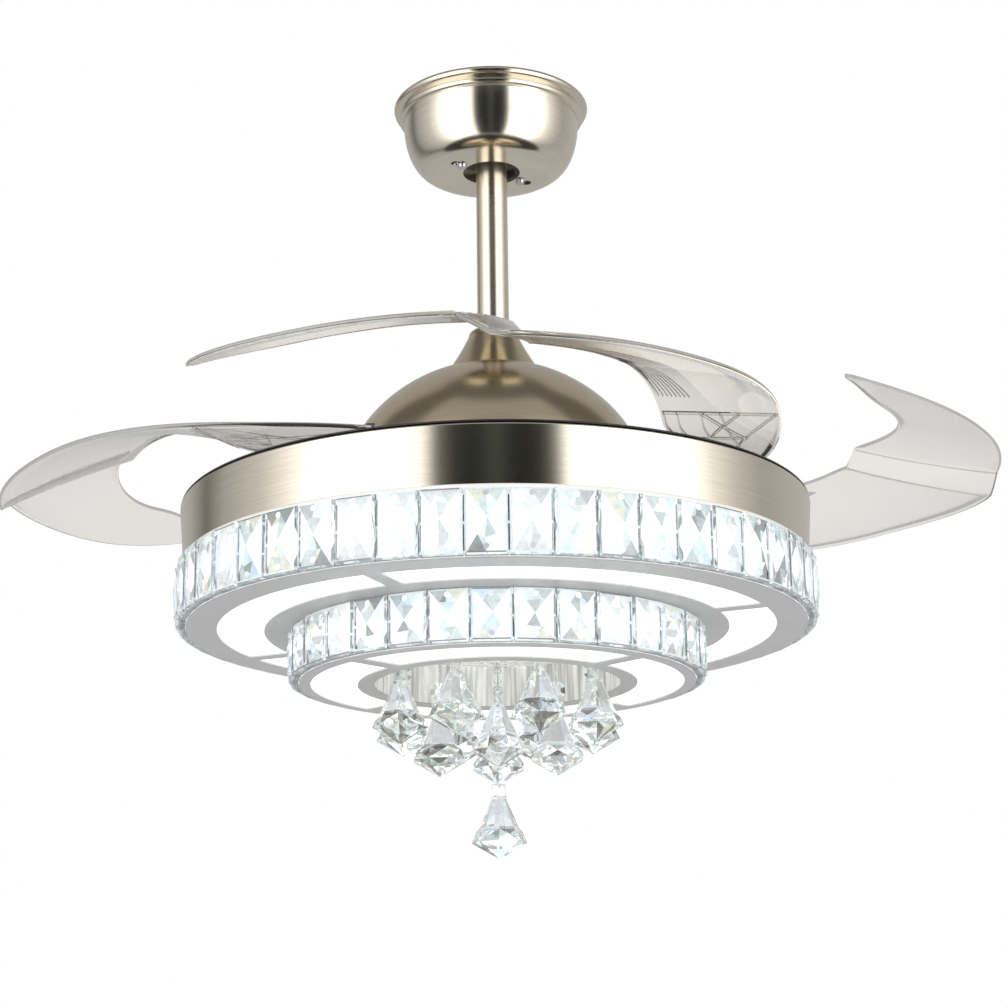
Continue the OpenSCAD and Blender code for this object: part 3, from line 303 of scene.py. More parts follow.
def bitten(mesh, cutters):
    """Cuts the cutters out of a mesh, and throws them away."""
    work = placed("work", mesh)
    for cutter in cutters:
        bite = work.modifiers.new("bite", "BOOLEAN")
        bite.object = cutter
        bite.solver = "EXACT"
    bpy.context.view_layer.update()
    seen = work.evaluated_get(bpy.context.evaluated_depsgraph_get())
    cut = bpy.data.meshes.new_from_object(seen)
    cut.name = mesh.name
    for used in [work] + cutters:
        bpy.data.objects.remove(used)
    return cut


def canopy_outline():
    """Outer outline of the cap, from the ceiling down over both beads and the bowl to the hole."""
    second_bead_r = canopy_r - bead_step
    bowl_r = canopy_r - bowl_inset
    bowl_h = bowl_top - canopy_foot
    points = arc((canopy_r - bead_r, -bead_r), bead_r, 90, -90, 10)
    points += arc((second_bead_r - bead_r, -3 * bead_r - bead_gap), bead_r, 60, -90, 9)
    for i in range(25):
        turn = math.pi / 2 * i / 24
        points.append((canopy_flat_r + (bowl_r - canopy_flat_r) * max(0, math.cos(turn)) ** 0.75,
                       bowl_top - bowl_h * math.sin(turn)))
    points.append((canopy_hole_r, canopy_foot))
    return points


def upright_cutter(name, outline, foot, top, turn):
    """Upright prism over an outline of (x, y) points, turned round the Z axis."""
    form = bmesh.new()
    low = [form.verts.new((x, y, foot)) for x, y in outline]
    high = [form.verts.new((x, y, top)) for x, y in outline]
    form.faces.new(low[::-1])
    form.faces.new(high)
    for i in range(len(low)):
        j = (i + 1) % len(low)
        form.faces.new((low[i], low[j], high[j], high[i]))
    form.transform(Matrix.Rotation(turn, 4, "Z"))
    return placed(name, mesh_of(name, form))


def keyhole_cutter(turn):
    """Slot and round hole through the canopy's foot, in one cutter."""
    outline = arc((screw_at, 0), keyhole_slot_half, 90, 270, 8)
    outline += arc((screw_at + keyhole_length, 0), keyhole_round_r, -150, 150, 18)
    return upright_cutter("keyhole", outline, canopy_foot - keyhole_cut_h / 2,
                          canopy_foot + keyhole_cut_h / 2, turn)


brushed_nickel = brushed("brushed_nickel", NICKEL, 0.17)
canopy_mesh = spun_mesh("canopy_shell", walled(canopy_outline(), canopy_sheet))
canopy_mesh = bitten(canopy_mesh, [keyhole_cutter(keyhole_turn), keyhole_cutter(keyhole_turn + math.pi)])
stand_in("canopy_shell", canopy_mesh, brushed_nickel, "mount", "brushed_nickel", "canopy")


# ---- Down rod ----
# Plain tube between the canopy and the motor, drawn and brushed along with the other nickel parts.
# It is pinned to the ball at its top and to the yoke at its foot, and is a little duller than they are.

rod_low, rod_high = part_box("downrod")
rod_r = rod_high.x
rod_wall = 0.0022
rod_bore_r = rod_r - rod_wall
rod_edge = 0.0004
rod_mesh = spun_mesh("rod_tube", [
    (rod_bore_r, rod_low.z), (rod_r - rod_edge, rod_low.z), (rod_r, rod_low.z + rod_edge),
    (rod_r, rod_high.z - rod_edge), (rod_r - rod_edge, rod_high.z), (rod_bore_r, rod_high.z)], 96)
rod_nickel = brushed("rod_nickel", NICKEL, 0.27)
stand_in("rod_tube", rod_mesh, rod_nickel, "hanging", "brushed_nickel", "downrod")


# ---- Yoke cover and motor dome ----
# Two spun shells in a darker nickel: a flared cone that hides the yoke, and the dome over the motor,
# whose top has vents round the cone. Both are brushed about as finely as the canopy and the band.

DARK_NICKEL = (0.62, 0.525, 0.37)
dome_low, dome_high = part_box("motor_dome")
cover_low, cover_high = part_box("yoke_cover")
dome_r = dome_high.x
cover_base_r = 0.039
cover_top_r = 0.020
cover_lip_r = 0.005
cover_sheet = 0.0012
cover_slip = 0.0006
dome_sheet = 0.0015
dome_hole_r = 0.0101
vent_count = 8
vent_turn = math.radians(20)
vent_length = 0.009
vent_half = 0.00225
vent_inset = 0.003


def dome_radius(share):
    """Radius of the dome at a share of its height below its top."""
    return cover_base_r + (dome_r - cover_base_r) * math.sin(math.pi / 2 * share ** 0.8) ** 0.86


def vent_cutter(turn):
    """Slot with one round end through the dome's top."""
    start = cover_base_r + vent_inset
    outline = [(start, vent_half), (start, -vent_half)]
    outline += arc((start + vent_length, 0), vent_half, -90, 90, 8)
    return upright_cutter("vent", outline, dome_high.z - 0.03, dome_high.z + 0.01, turn)


dark_nickel = brushed("dark_nickel", DARK_NICKEL, 0.18)
cover_outline = [(rod_r + cover_slip, cover_high.z)]
cover_outline += arc((cover_top_r - cover_lip_r, cover_high.z - cover_lip_r), cover_lip_r, 80, 0, 8)
for i in range(1, 21):
    k = i / 20
    cover_outline.append((cover_top_r + (cover_base_r - cover_top_r) * (0.8 * k + 0.2 * k * k),
                          cover_high.z - cover_lip_r - (cover_high.z - cover_low.z - cover_lip_r) * k))
stand_in("yoke_cover_shell", spun_mesh("yoke_cover_shell", walled(cover_outline, cover_sheet)),
         dark_nickel, "hanging", "dark_nickel", "yoke_cover")

dome_outline = [(dome_hole_r, dome_high.z)]
for i in range(49):
    k = i / 48
    dome_outline.append((dome_radius(k), dome_high.z - (dome_high.z - dome_low.z) * k))
dome_mesh = spun_mesh("motor_dome_shell", walled(dome_outline, dome_sheet))
vents = [vent_cutter(vent_turn + 2 * math.pi * i / vent_count) for i in range(vent_count)]
stand_in("motor_dome_shell", bitten(dome_mesh, vents), dark_nickel, "hanging", "dark_nickel",
         "motor_dome")


# ---- Motor ----
# Under the dome, inside the rotor's bell: laminated stator, enamelled windings and black coated
# magnets. The bell all but hides them.

LAMINATION = (0.2, 0.2, 0.21)
ENAMEL = (0.45, 0.17, 0.06)
MAGNET = (0.05, 0.05, 0.055)

laminated, tree, shader = new_finish("laminated_steel", LAMINATION, 0.8, 0.5)
sheets = cloud(tree, 0.0007, (0.01, 0.01, 1), 1)
mottle(tree, shader, sheets, LAMINATION, 0.6, 1.3)
relief(tree, shader, sheets, 0.00008)
dress(["stator_core"], laminated)

enamelled, tree, shader = new_finish("enamelled_wire", ENAMEL, 0.2, 0.3)
turns = cloud(tree, 0.0009, (1, 0.02, 0.02), 1)
mottle(tree, shader, turns, ENAMEL, 0.5, 1.35)
relief(tree, shader, turns, 0.0003)
dress(["stator_windings"], enamelled)

magnet_coat, tree, shader = new_finish("magnet_coat", MAGNET, 0.3, 0.4)
mottle(tree, shader, cloud(tree, 0.003), MAGNET, 0.7, 1.6)
dress(["rotor_magnets"], magnet_coat)


# ---- Blade tray ----
# Black painted disc under the blades, which turns with the rotor and carries the four pivots. Its edge
# shows as a dark line over the band.

TRAY_BLACK = (0.018, 0.018, 0.02)

black_paint, tree, shader = new_finish("black_paint", TRAY_BLACK, 0, 0.35)
mottle(tree, shader, cloud(tree, 0.03), TRAY_BLACK, 1, 1.9)
vary(tree, cloud(tree, 0.008), 0.28, 0.44, shader.inputs["Roughness"])
relief(tree, shader, cloud(tree, 0.0012), 0.00003)
dress(["blade_tray"], black_paint)

tray_r = 0.239
tray_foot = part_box("blade_tray")[0].z
rim_r = 0.0007
rim_reach = 0.0056
rim_start = tray_r + 0.0001
rim_low = tray_foot + 0.0002
edge_outline = [(rim_start, rim_low)]
edge_outline += arc((tray_r + rim_reach, tray_foot + 0.0009), rim_r, -90, 90, 8)
edge_outline += [(rim_start, tray_foot + 0.0016)]
stand_in("tray_edge", spun_mesh("tray_edge", edge_outline), black_paint, "rotor", "tray_black")


# ---- Blades ----
# Four moulded clear plastic blades. Each is a thin sickle-shaped shell, pitched so that its inner edge
# is the higher one, with a ramp that lifts its tip half over the next blade when they fold.

BLADE_CLEAR = (0.835, 0.805, 0.77)
BLADE_LOW_SHADE = (0.74, 0.72, 0.69)
BLADE_EDGE_SHADE = (0.42, 0.41, 0.4)
blade_count = 4
pivot_at = 0.195
pivot_turn = math.radians(63)
fold = math.radians(46)
blade_t = 0.0026
blade_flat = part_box("pivot_posts")[1].z - 0.0043
blade_reach = 0.241
blade_span = 173
root_disc_r = 0.021
root_low_r = 0.226
root_in_r = 0.133
neck_in_r = 0.180
blade_pitch = 0.31
crease_step = 0.013
crease_at = 100.5
crease_lean = 13
crease_run = 5.5
tip_rise = 0.012
tip_w = 0.008
tip_turn = 1
boss_r = 0.012
boss_top = 0.0034
boss_foot = -0.0012
post_bore_r = 0.0052
edge_round = 0.0006
tip_drop_in = 0.018
rib_h = 0.0018
rib_w = 0.0011
chord_rib_w = 0.002
fine_rib_h = 0.0004
fan_rib_w = 0.0012
fan_ribs = 8

# Ends of the ribs in the blade's root, each in degrees along the blade and a share of the way across
TRUSS = (((35, 0.04), (9, 0.62)), ((35, 0.5), (9, 0.4)), ((35, 0.97), (22, 0.97)),
         ((35, 0.86), (22, 0.86)), ((22, 0.98), (22, 0.3)), ((35, 0.66), (22, 0.34)),
         ((35, 0.34), (22, 0.66)), ((35, 0.66), (22, 0.66)))


def ramp(start, end, x):
    """Plain rise from 0 at start to 1 at end."""
    return max(0, min(1, (x - start) / (end - start)))


def ease(start, end, x):
    """Smooth rise from 0 at start to 1 at end."""
    t = ramp(start, end, x)
    return t * t * (3 - 2 * t)


def blade_outer(u):
    """Radius of the folded blade's outer edge, u degrees clockwise from its pivot."""
    return (pivot_at + root_disc_r
            + (root_low_r - pivot_at - root_disc_r) * ease(20, 60, u)
            + (blade_reach - root_low_r) * ease(70, 115, u)
            - tip_drop_in * ramp(145, blade_span, u) ** 2)


def blade_inner(u):
    """Radius of the folded blade's inner edge."""
    neck = (pivot_at - root_disc_r
            + (root_in_r - pivot_at + root_disc_r) * ease(2, 30, u)
            + (neck_in_r - root_in_r) * ease(85, 155, u))
    return neck + (blade_outer(u) - tip_w - neck) * ramp(150, blade_span, u) ** 2.2


def crease_start(across):
    """Where the ramp starts, in degrees along the blade: it runs aslant, sooner at the inner edge."""
    return crease_at + crease_lean * (0.5 - across)


def blade_z(r, u, across):
    """Middle height of the blade's sheet."""
    start = crease_start(across)
    return (blade_flat + ease(15, 62, u) * (0.003 + blade_pitch * (root_low_r - r))
            + crease_step * ramp(start, start + crease_run, u)
            + tip_rise * ramp(135, blade_span, u) ** 2)


def blade_point(u, across):
    """A point in the blade's middle surface: across runs from 0 at the outer edge to 1 at the inner."""
    r = blade_outer(u) + (blade_inner(u) - blade_outer(u)) * across
    turn = pivot_turn - math.radians(u)
    return Vector((r * math.cos(turn), r * math.sin(turn), blade_z(r, u, across)))


def sheet_side(form, loops, edges=()):
    """Joins loops of points of one count into a closed skin. Faces at the edges get the second finish."""
    count = len(loops[0])
    for first, second in zip(loops, loops[1:]):
        for i in range(count):
            j = (i + 1) % count
            face = form.faces.new((first[i], second[i], second[j], first[j]))
            face.material_index = 1 if i in edges else 0
    form.faces.new(loops[0])
    form.faces.new(loops[-1][::-1])


def moulded_rib(form, first, last, height, width):
    """Thin rib under the blade, between two (u, across) places."""
    steps = 10
    line = [blade_point(first[0] + (last[0] - first[0]) * i / steps,
                        first[1] + (last[1] - first[1]) * i / steps) for i in range(steps + 1)]
    loops = []
    for i, point in enumerate(line):
        along = line[min(i + 1, steps)] - line[max(i - 1, 0)]
        out = Vector((-along.y, along.x, 0)).normalized() * width / 2
        foot = Vector((0, 0, -blade_t / 4))
        top = Vector((0, 0, -(blade_t / 2 + height)))
        loops.append([form.verts.new(point + step) for step in
                      (foot - out, foot + out, top + out * 0.7, top - out * 0.7)])
    sheet_side(form, loops, range(4))


def blade_section(form, u):
    """One closed section of the shell: a rolled rim outside, a slimmer one inside, a thin sheet between.
    Each rim is a list of (distance from the edge, share of the sheet's thickness)."""
    width = blade_outer(u) - blade_inner(u)
    share = min(1, width / 0.014)
    bead = 1 - ease(105, 140, u)
    outside = [(0, 0.4), (0.0005, 1), (0.0012, 1 + 0.3 * bead), (0.0024, 1 + 0.25 * bead), (0.0036, 1)]
    inside = [(0.0026, 1), (0.002, 1.1), (0.0011, 1.15), (0.0004, 1), (0, 0.4)]
    row = [(d * share / width, t) for d, t in outside]
    first, last = row[-1][0], 1 - inside[0][0] * share / width
    row += [(first + (last - first) * i / 10, 1) for i in range(1, 10)]
    row += [(1 - d * share / width, t) for d, t in inside]
    squeeze = math.sqrt(1 - min(1, 0.97 * ramp(blade_span - tip_turn, blade_span, u)) ** 2)
    top, under = [], []
    for across, thick in row:
        point = blade_point(u, 0.5 + (across - 0.5) * squeeze)
        rise = Vector((0, 0, thick * blade_t / 2))
        top.append(form.verts.new(point + rise))
        under.append(form.verts.new(point - rise))
    return top + under[::-1]


def blade_mesh(name):
    """The blade's shell with its rims, root disc, hub, truss of ribs and fine neck ribs, still folded."""
    form = bmesh.new()
    along = [(blade_span - tip_turn) * i / 130 for i in range(131)]
    along += [blade_span - tip_turn + tip_turn * math.sin(math.pi / 2 * i / 6) for i in range(1, 7)]
    loops = [blade_section(form, u) for u in along]
    half_row = len(loops[0]) // 2
    sheet_side(form, loops, (0, half_row - 2, half_row - 1, half_row, 2 * half_row - 2, 2 * half_row - 1))
    post = Vector((pivot_at * math.cos(pivot_turn), pivot_at * math.sin(pivot_turn), blade_flat))
    half = blade_t / 2
    disc = [(post_bore_r, half), (root_disc_r - edge_round, half), (root_disc_r, half * 0.3),
            (root_disc_r, -half * 0.3), (root_disc_r - edge_round, -half), (post_bore_r, -half)]
    boss = [(post_bore_r, boss_top), (boss_r - edge_round, boss_top), (boss_r, 0.0028),
            (boss_r, boss_foot), (post_bore_r, boss_foot)]
    for outline in (disc, boss):
        turn_outline(form, post, outline, 48)
    moulded_rib(form, (35, 0.02), (35, 0.98), rib_h, chord_rib_w)
    for first, last in TRUSS:
        moulded_rib(form, first, last, rib_h, rib_w)
    for i in range(fan_ribs):
        moulded_rib(form, (42, 0.7 + 0.036 * i), (70 - i, 0.86 + 0.017 * i), fine_rib_h, fan_rib_w)
    for u in (0, crease_run):
        ends = [(u + crease_start(across), across) for across in (0.01, 0.99)]
        moulded_rib(form, *ends, fine_rib_h, rib_w)
    mesh = mesh_of(name, form)
    mesh.shade_smooth()
    mesh.set_sharp_from_angle(angle=math.radians(40))
    return mesh


clear_plastic, tree, shader = new_finish("clear_plastic", BLADE_CLEAR, 0, 0.04)
shader.inputs["Transmission Weight"].default_value = 1
shader.inputs["IOR"].default_value = 1.46
vary(tree, cloud(tree, 0.05), 0.02, 0.08, shader.inputs["Roughness"])
relief(tree, shader, cloud(tree, 0.02), 0.00005)
# Painted shade: the base colour darkens from clear towards the lowest parts of each blade, broken by
# mottling.
place = tree.nodes.new("ShaderNodeTexCoord")
height = tree.nodes.new("ShaderNodeSeparateXYZ")
level = tree.nodes.new("ShaderNodeMapRange")
low_shade = tree.nodes.new("ShaderNodeMath")
low_shade.operation = "MULTIPLY_ADD"
low_shade.inputs[1].default_value = 0.5
blade_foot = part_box("blade_1")[0].z
level.inputs["From Min"].default_value = blade_foot
level.inputs["From Max"].default_value = blade_foot + 0.034
tree.links.new(place.outputs["Object"], height.inputs["Vector"])
tree.links.new(height.outputs["Z"], level.inputs["Value"])
tree.links.new(cloud(tree, 0.09), low_shade.inputs[0])
tree.links.new(level.outputs["Result"], low_shade.inputs[2])
two_tone(tree, low_shade.outputs["Value"], BLADE_LOW_SHADE, BLADE_CLEAR, shader.inputs["Base Color"],
         0.15, 0.95)

# Painted shade: a dark grey, half clear finish on the blades' rims and ribs, for the dark lines that
# clear plastic shows there.
blade_edge_shade, tree, shader = new_finish("blade_edge_shade", BLADE_EDGE_SHADE, 0, 0.25)
shader.inputs["Transmission Weight"].default_value = 0.55
shader.inputs["IOR"].default_value = 1.46
mottle(tree, shader, cloud(tree, 0.03), BLADE_EDGE_SHADE, 1, 1.5)

pivot_point = Vector((pivot_at * math.cos(pivot_turn), pivot_at * math.sin(pivot_turn), 0))
for index in range(blade_count):
    name = f"blade_shell_{index + 1}"
    mesh = blade_mesh(name)
    mesh.transform(Matrix.Rotation(-index * 2 * math.pi / blade_count, 4, "Z")
                   @ Matrix.Translation(pivot_point) @ Matrix.Rotation(fold, 4, "Z")
                   @ Matrix.Translation(-pivot_point))
    shell = stand_in(name, mesh, clear_plastic, f"blade_{index + 1}_body", "clear_blade",
                     f"blade_{index + 1}")
    shell.visible_glossy = False
    mesh.materials.append(blade_edge_shade)


# ---- Lamp pan and band ----
# The lamp hangs under the shaft on a painted steel pan. A brushed nickel band goes round it, with its
# upper edge rolled in under the tray.

WHITE_PAINT = (0.8, 0.8, 0.79)
PAINT_GRAIN = 0.0012
band_low, band_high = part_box("lamp_band")
band_top_r = band_high.x
band_taper = 0.003
band_foot_r = band_top_r - band_taper
band_sheet = 0.0012
band_roll_r = 0.0008


def painted(name, colour, rough):
    """Sprayed paint: faint orange peel, and dust in broad patches."""
    material, tree, shader = new_finish(name, colour, 0, rough)
    mottle(tree, shader, cloud(tree, 0.06), colour, 0.96, 1)
    vary(tree, cloud(tree, 0.02), rough - 0.05, rough + 0.06, shader.inputs["Roughness"])
    relief(tree, shader, cloud(tree, PAINT_GRAIN), 0.00002)
    return material


white_paint = painted("white_paint", WHITE_PAINT, 0.4)
dress(["lamp_pan", "upper_reflector"], white_paint)

band_outline = [(band_foot_r, band_low.z), (band_top_r, band_high.z - 0.0012)]
band_outline += arc((band_top_r - band_roll_r, band_high.z - band_roll_r), band_roll_r, 30, 150, 6)
band_outline += [(band_top_r - band_sheet - 0.0006, band_high.z - 0.002),
                 (band_foot_r - band_sheet, band_low.z)]
stand_in("band_ring", spun_mesh("band_ring", band_outline, 256), brushed_nickel, "hanging",
         "brushed_nickel", "lamp_band")


# ---- Upper tier ----
# Ring of cut crystal blocks pinned to a white drum that glows a little with painted light. Under it a
# grey trim plate has four windows with white panes, lit from behind by a ring of small lights.

CRYSTAL_CLEAR = (1, 1, 1)
# Painted light: the cut glass glows faintly in its facets' colours.
GLASS_GLOW = 0.1
FACET_SEED = 7
# Painted reflections and glints for the blocks' broken facets.
BLOCK_PAINTED_REFLECTIONS = ((0.4, 0.46, 0.46), (0.28, 0.32, 0.31), (0.7, 0.78, 0.78), (0.14, 0.15, 0.14),
          (0.62, 0.6, 0.46), (0.85, 0.9, 0.93), (0.46, 0.6, 0.76), (0.5, 0.58, 0.55))
# Painted shade for the blocks' edge lines, and for their sides, which show in the gaps.
EDGE_SHADE = (0.1, 0.1, 0.1)
SIDE_SHADE = (0.25, 0.27, 0.27)
TRIM_GREY = (0.68, 0.665, 0.63)
upper_ring_r = 0.250
block_t = 0.010
block_peak = 0.003
block_rise = 0.0025
block_bevel = 0.0018
block_gap = 0.0006
block_line = 0.001
peak_wander = (0.0012, 0.002)
gap_shade_half = 0.0012
gap_shade_height = 0.0002
upper_count = 50
upper_turn = math.radians(-84.3)
dice = random.Random(FACET_SEED)


def cut_glass(name):
    """Polished lead crystal. Each facet's colour is painted light: the reflections and shade that cut
    glass picks up from round it. The glass glows faintly in these colours, also as painted light.
    """
    material, tree, shader = new_finish(name, CRYSTAL_CLEAR, 0, 0.01)
    shader.inputs["Transmission Weight"].default_value = 1
    shader.inputs["IOR"].default_value = 1.54
    shader.inputs["Emission Strength"].default_value = GLASS_GLOW
    facet = tree.nodes.new("ShaderNodeVertexColor")
    facet.layer_name = "facet"
    mist = tree.nodes.new("ShaderNodeMix")
    mist.data_type = "RGBA"
    mist.blend_type = "MULTIPLY"
    mist.inputs["Factor"].default_value = 1
    cloudy = tree.nodes.new("ShaderNodeValToRGB")
    cloudy.color_ramp.elements[0].color = (0.84, 0.87, 0.88, 1)
    cloudy.color_ramp.elements[0].position = 0.3
    cloudy.color_ramp.elements[1].color = (1, 1, 1, 1)
    cloudy.color_ramp.elements[1].position = 0.55
    tree.links.new(cloud(tree, 0.004, detail=1), cloudy.inputs["Fac"])
    tree.links.new(facet.outputs["Color"], mist.inputs["A"])
    tree.links.new(cloudy.outputs["Color"], mist.inputs["B"])
    tree.links.new(mist.outputs["Result"], shader.inputs["Base Color"])
    tree.links.new(mist.outputs["Result"], shader.inputs["Emission Color"])
    vary(tree, cloud(tree, 0.01), 0, 0.03, shader.inputs["Roughness"])
    return material


def painted_facet(form, painted_lights, corners, painted_light):
    """Adds one flat facet and keeps its painted light colour."""
    form.faces.new(corners)
    painted_lights.append(painted_light)


def facet_mesh(name, form, painted_lights):
    """Finishes a mesh of flat facets, with the painted light colour of each stored."""
    mesh = mesh_of(name, form)
    layer = mesh.color_attributes.new("facet", "FLOAT_COLOR", "CORNER")
    for face, painted_light in zip(mesh.polygons, painted_lights):
        for corner in face.loop_indices:
            layer.data[corner].color = (*painted_light, 1)
    return mesh


def mixed(first, second, share):
    """A colour between two others, at a share of the way."""
    return tuple(a + (b - a) * share for a, b in zip(first, second))


def cut_block(form, painted_lights, width, height, turn, back, middle):
    """One block on a drum, its face bevelled, then cut as a bow tie of two clear and two broken sides."""
    face = block_t - block_peak

    def point(y, z, out):
        r = back + out
        return form.verts.new((r * math.cos(turn) - y * math.sin(turn),
                               r * math.sin(turn) + y * math.cos(turn), middle + z))

    def rim(inset, out):
        w, h = width / 2 - inset, height / 2 - inset
        return [point(y, z, out) for y, z in ((-w, -h), (w, -h), (w, h), (-w, h))]

    behind, side = rim(0, 0), rim(0, face - block_rise)
    line, inner = rim(block_bevel - block_line, face), rim(block_bevel, face + 0.0001)
    peak = point(*(dice.uniform(-most, most) for most in peak_wander), block_t)
    # Every facet's colour is painted light: painted reflections and glints on the faces, painted shade in
    # the edge lines and on the sides. The share clear sets how much of the painted reflection colours a
    # block's broken sides take.
    painted_facet(form, painted_lights, behind[::-1], (0.96, 0.98, 1))
    clear = dice.choice((0.55, 0.8, 1, 1))
    for i in range(4):
        j = (i + 1) % 4
        painted_facet(form, painted_lights, (behind[i], behind[j], side[j], side[i]), SIDE_SHADE)
        bevel_painted_reflection = mixed((0.62, 0.72, 0.74), CRYSTAL_CLEAR, dice.random())
        painted_facet(form, painted_lights, (side[i], side[j], line[j], line[i]), bevel_painted_reflection)
        dark = EDGE_SHADE if i in (0, 2) and dice.random() < 0.45 else (0.7, 0.75, 0.75)
        painted_facet(form, painted_lights, (line[i], line[j], inner[j], inner[i]), dark)
    w, h = width / 2 - block_bevel, height / 2 - block_bevel
    halves = [form.verts.new((corner.co + peak.co) / 2) for corner in inner]
    for i, z in ((0, -h), (2, h)):
        j = (i + 1) % 4
        first, last = inner[i], inner[j]
        brink = form.verts.new((first.co + last.co) / 2)
        heart = point(dice.uniform(-0.3, 0.3) * w, z * dice.uniform(0.45, 0.62),
                      face + block_peak * 0.5 + 0.0003)
        for corners in ((first, brink, halves[i]), (brink, heart, halves[i]), (halves[i], heart, peak),
                        (heart, halves[j], peak), (brink, halves[j], heart), (brink, last, halves[j])):
            painted_facet(form, painted_lights, corners, mixed(CRYSTAL_CLEAR, dice.choice(BLOCK_PAINTED_REFLECTIONS), clear))
    for i in (1, 3):
        j = (i + 1) % 4
        painted_light = mixed(CRYSTAL_CLEAR, (0.72, 0.86, 1), dice.choice((0, 0, 0, 0.3, 0.7)))
        painted_facet(form, painted_lights, (inner[i], inner[j], halves[j], peak, halves[i]), painted_light)


def block_ring(name, count, ring_r, low, high, first_turn):
    """All the blocks of one ring in one mesh."""
    back = ring_r - block_t
    width = 2 * back * math.tan(math.pi / count) - block_gap
    form, painted_lights = bmesh.new(), []
    for i in range(count):
        turn = first_turn + 2 * math.pi * i / count
        cut_block(form, painted_lights, width, high - low, turn, back, (low + high) / 2)
    return facet_mesh(name, form, painted_lights)


def gap_shade_strips(name, count, back, low, high, first_turn):
    """Narrow dark metal strips on the drum behind the gaps between blocks: painted shade, a dark line in
    each gap.
    """
    form = bmesh.new()
    middle, slope = (low + high) / 2, 0.0003
    plan = ((0, -gap_shade_half), (0, gap_shade_half), (gap_shade_height, gap_shade_half - slope), (gap_shade_height, slope - gap_shade_half))
    for i in range(count):
        turn = Matrix.Rotation(first_turn + 2 * math.pi * (i + 0.5) / count, 4, "Z")
        for start, end in ((low + 0.004, middle - 0.001), (middle + 0.001, high - 0.004)):
            loops = [[form.verts.new(turn @ Vector((back + out, y, z))) for out, y in plan]
                     for z in (start, end)]
            sheet_side(form, loops)
    return mesh_of(name, form)


def tier(name, count, ring_r, first_turn):
    """One ring of blocks with dark strips of painted shade behind its gaps, in place of the tier's plain
    blocks.
    """
    low, high = (corner.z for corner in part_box(f"{name}_crystals"))
    stand_in(f"{name}_cut_blocks", block_ring(f"{name}_cut_blocks", count, ring_r, low, high, first_turn),
             crystal_glass, "hanging", "crystal", f"{name}_crystals")
    back = ring_r - block_t + 0.0001
    stand_in(f"{name}_gap_shades", gap_shade_strips(f"{name}_gap_shades", count, back, low, high, first_turn),
             gap_shade_metal, "hanging", "bright_chrome")


crystal_glass = cut_glass("crystal_glass")
# Painted shade: near-black metal for the strips in the gaps between blocks.
gap_shade_metal, tree, shader = new_finish("gap_shade_metal", (0.12, 0.125, 0.13), 1, 0.25)
two_tone(tree, cloud(tree, 0.004), (0.03, 0.03, 0.035), (0.3, 0.31, 0.32), shader.inputs["Base Color"])
tier("upper", upper_count, upper_ring_r, upper_turn)

# Painted light: the white drums glow a little, which brightens the blocks from behind.
drum_painted_glow, tree, shader = new_finish("drum_painted_glow", WHITE_PAINT, 0, 0.4)
shader.inputs["Emission Strength"].default_value = 0.5
two_tone(tree, cloud(tree, 0.03), (0.9, 0.94, 0.96), (1, 1, 1), shader.inputs["Emission Color"])
dress(["upper_drum", "lower_drum"], drum_painted_glow)

# Painted light: the crystal pins glow a little.
pin_painted_glow, tree, shader = new_finish("pin_painted_glow", (0.86, 0.87, 0.87), 1, 0.4)
two_tone(tree, cloud(tree, 0.003), (0.7, 0.72, 0.72), (0.95, 0.96, 0.96), shader.inputs["Base Color"])
shader.inputs["Emission Color"].default_value = (0.8, 0.84, 0.85, 1)
shader.inputs["Emission Strength"].default_value = 0.35
dress(["crystal_pins"], pin_painted_glow)

trim_paint = painted("trim_paint", TRIM_GREY, 0.33)
dress(["upper_plate", "lower_plate"], trim_paint)

lit_pane, tree, shader = new_finish("lit_pane", (0.9, 0.9, 0.9), 0, 0.4)
shader.inputs["Emission Strength"].default_value = 1
two_tone(tree, cloud(tree, 0.04), (0.97, 0.98, 1), (1, 1, 1), shader.inputs["Emission Color"])
dress(["upper_panes", "lower_panes"], lit_pane)

lamp_board, tree, shader = new_finish("lamp_board", (0.82, 0.82, 0.76), 0, 0.35)
two_tone(tree, cloud(tree, 0.01), (0.74, 0.74, 0.66), (0.86, 0.86, 0.82), shader.inputs["Base Color"])
dress(["upper_led_board", "lower_led_board"], lamp_board)


# ---- Lower tier ----
# The same again, smaller: a second ring of blocks round a drum, and a trim plate with four windows.

lower_ring_r = 0.163
lower_count = 32
lower_turn = math.radians(-80.1)

tier("lower", lower_count, lower_ring_r, lower_turn)


# ---- Recess ----
# Round opening in the middle of the lower plate. A pale liner stands round it, its fluting painted on as
# upright stripes of light and shade, and a plate of the same finish, with the hook eyes, closes its top.
# Both glow a little with painted light.

LINER = (0.8, 0.79, 0.75)

liner, tree, shader = new_finish("recess_liner", LINER, 0.35, 0.3)
# Painted light and shade: upright stripes stand for fluting, in the base colour and in a glow that the
# liner gives though it is no lamp.
flute_light_and_shade = cloud(tree, 0.004, (1, 1, 0.05), 2)
mottle(tree, shader, flute_light_and_shade, LINER, 0.6, 1.2)
shader.inputs["Emission Strength"].default_value = 0.3
two_tone(tree, flute_light_and_shade, (0.4, 0.4, 0.38), (1, 1, 1), shader.inputs["Emission Color"])
dress(["recess_wall", "hook_plate"], liner)

chrome, tree, shader = new_finish("bright_chrome", (0.78, 0.79, 0.8), 1, 0.08)
vary(tree, cloud(tree, 0.006), 0.05, 0.14, shader.inputs["Roughness"])
dress(["hook_eyes"], chrome)


# ---- Hanging drops ----
# Cut crystal drops, eight round the recess, four further in, and one on a long chain. Each hangs by wire
# rings, and all but the last have a flat eight-sided bead over them.

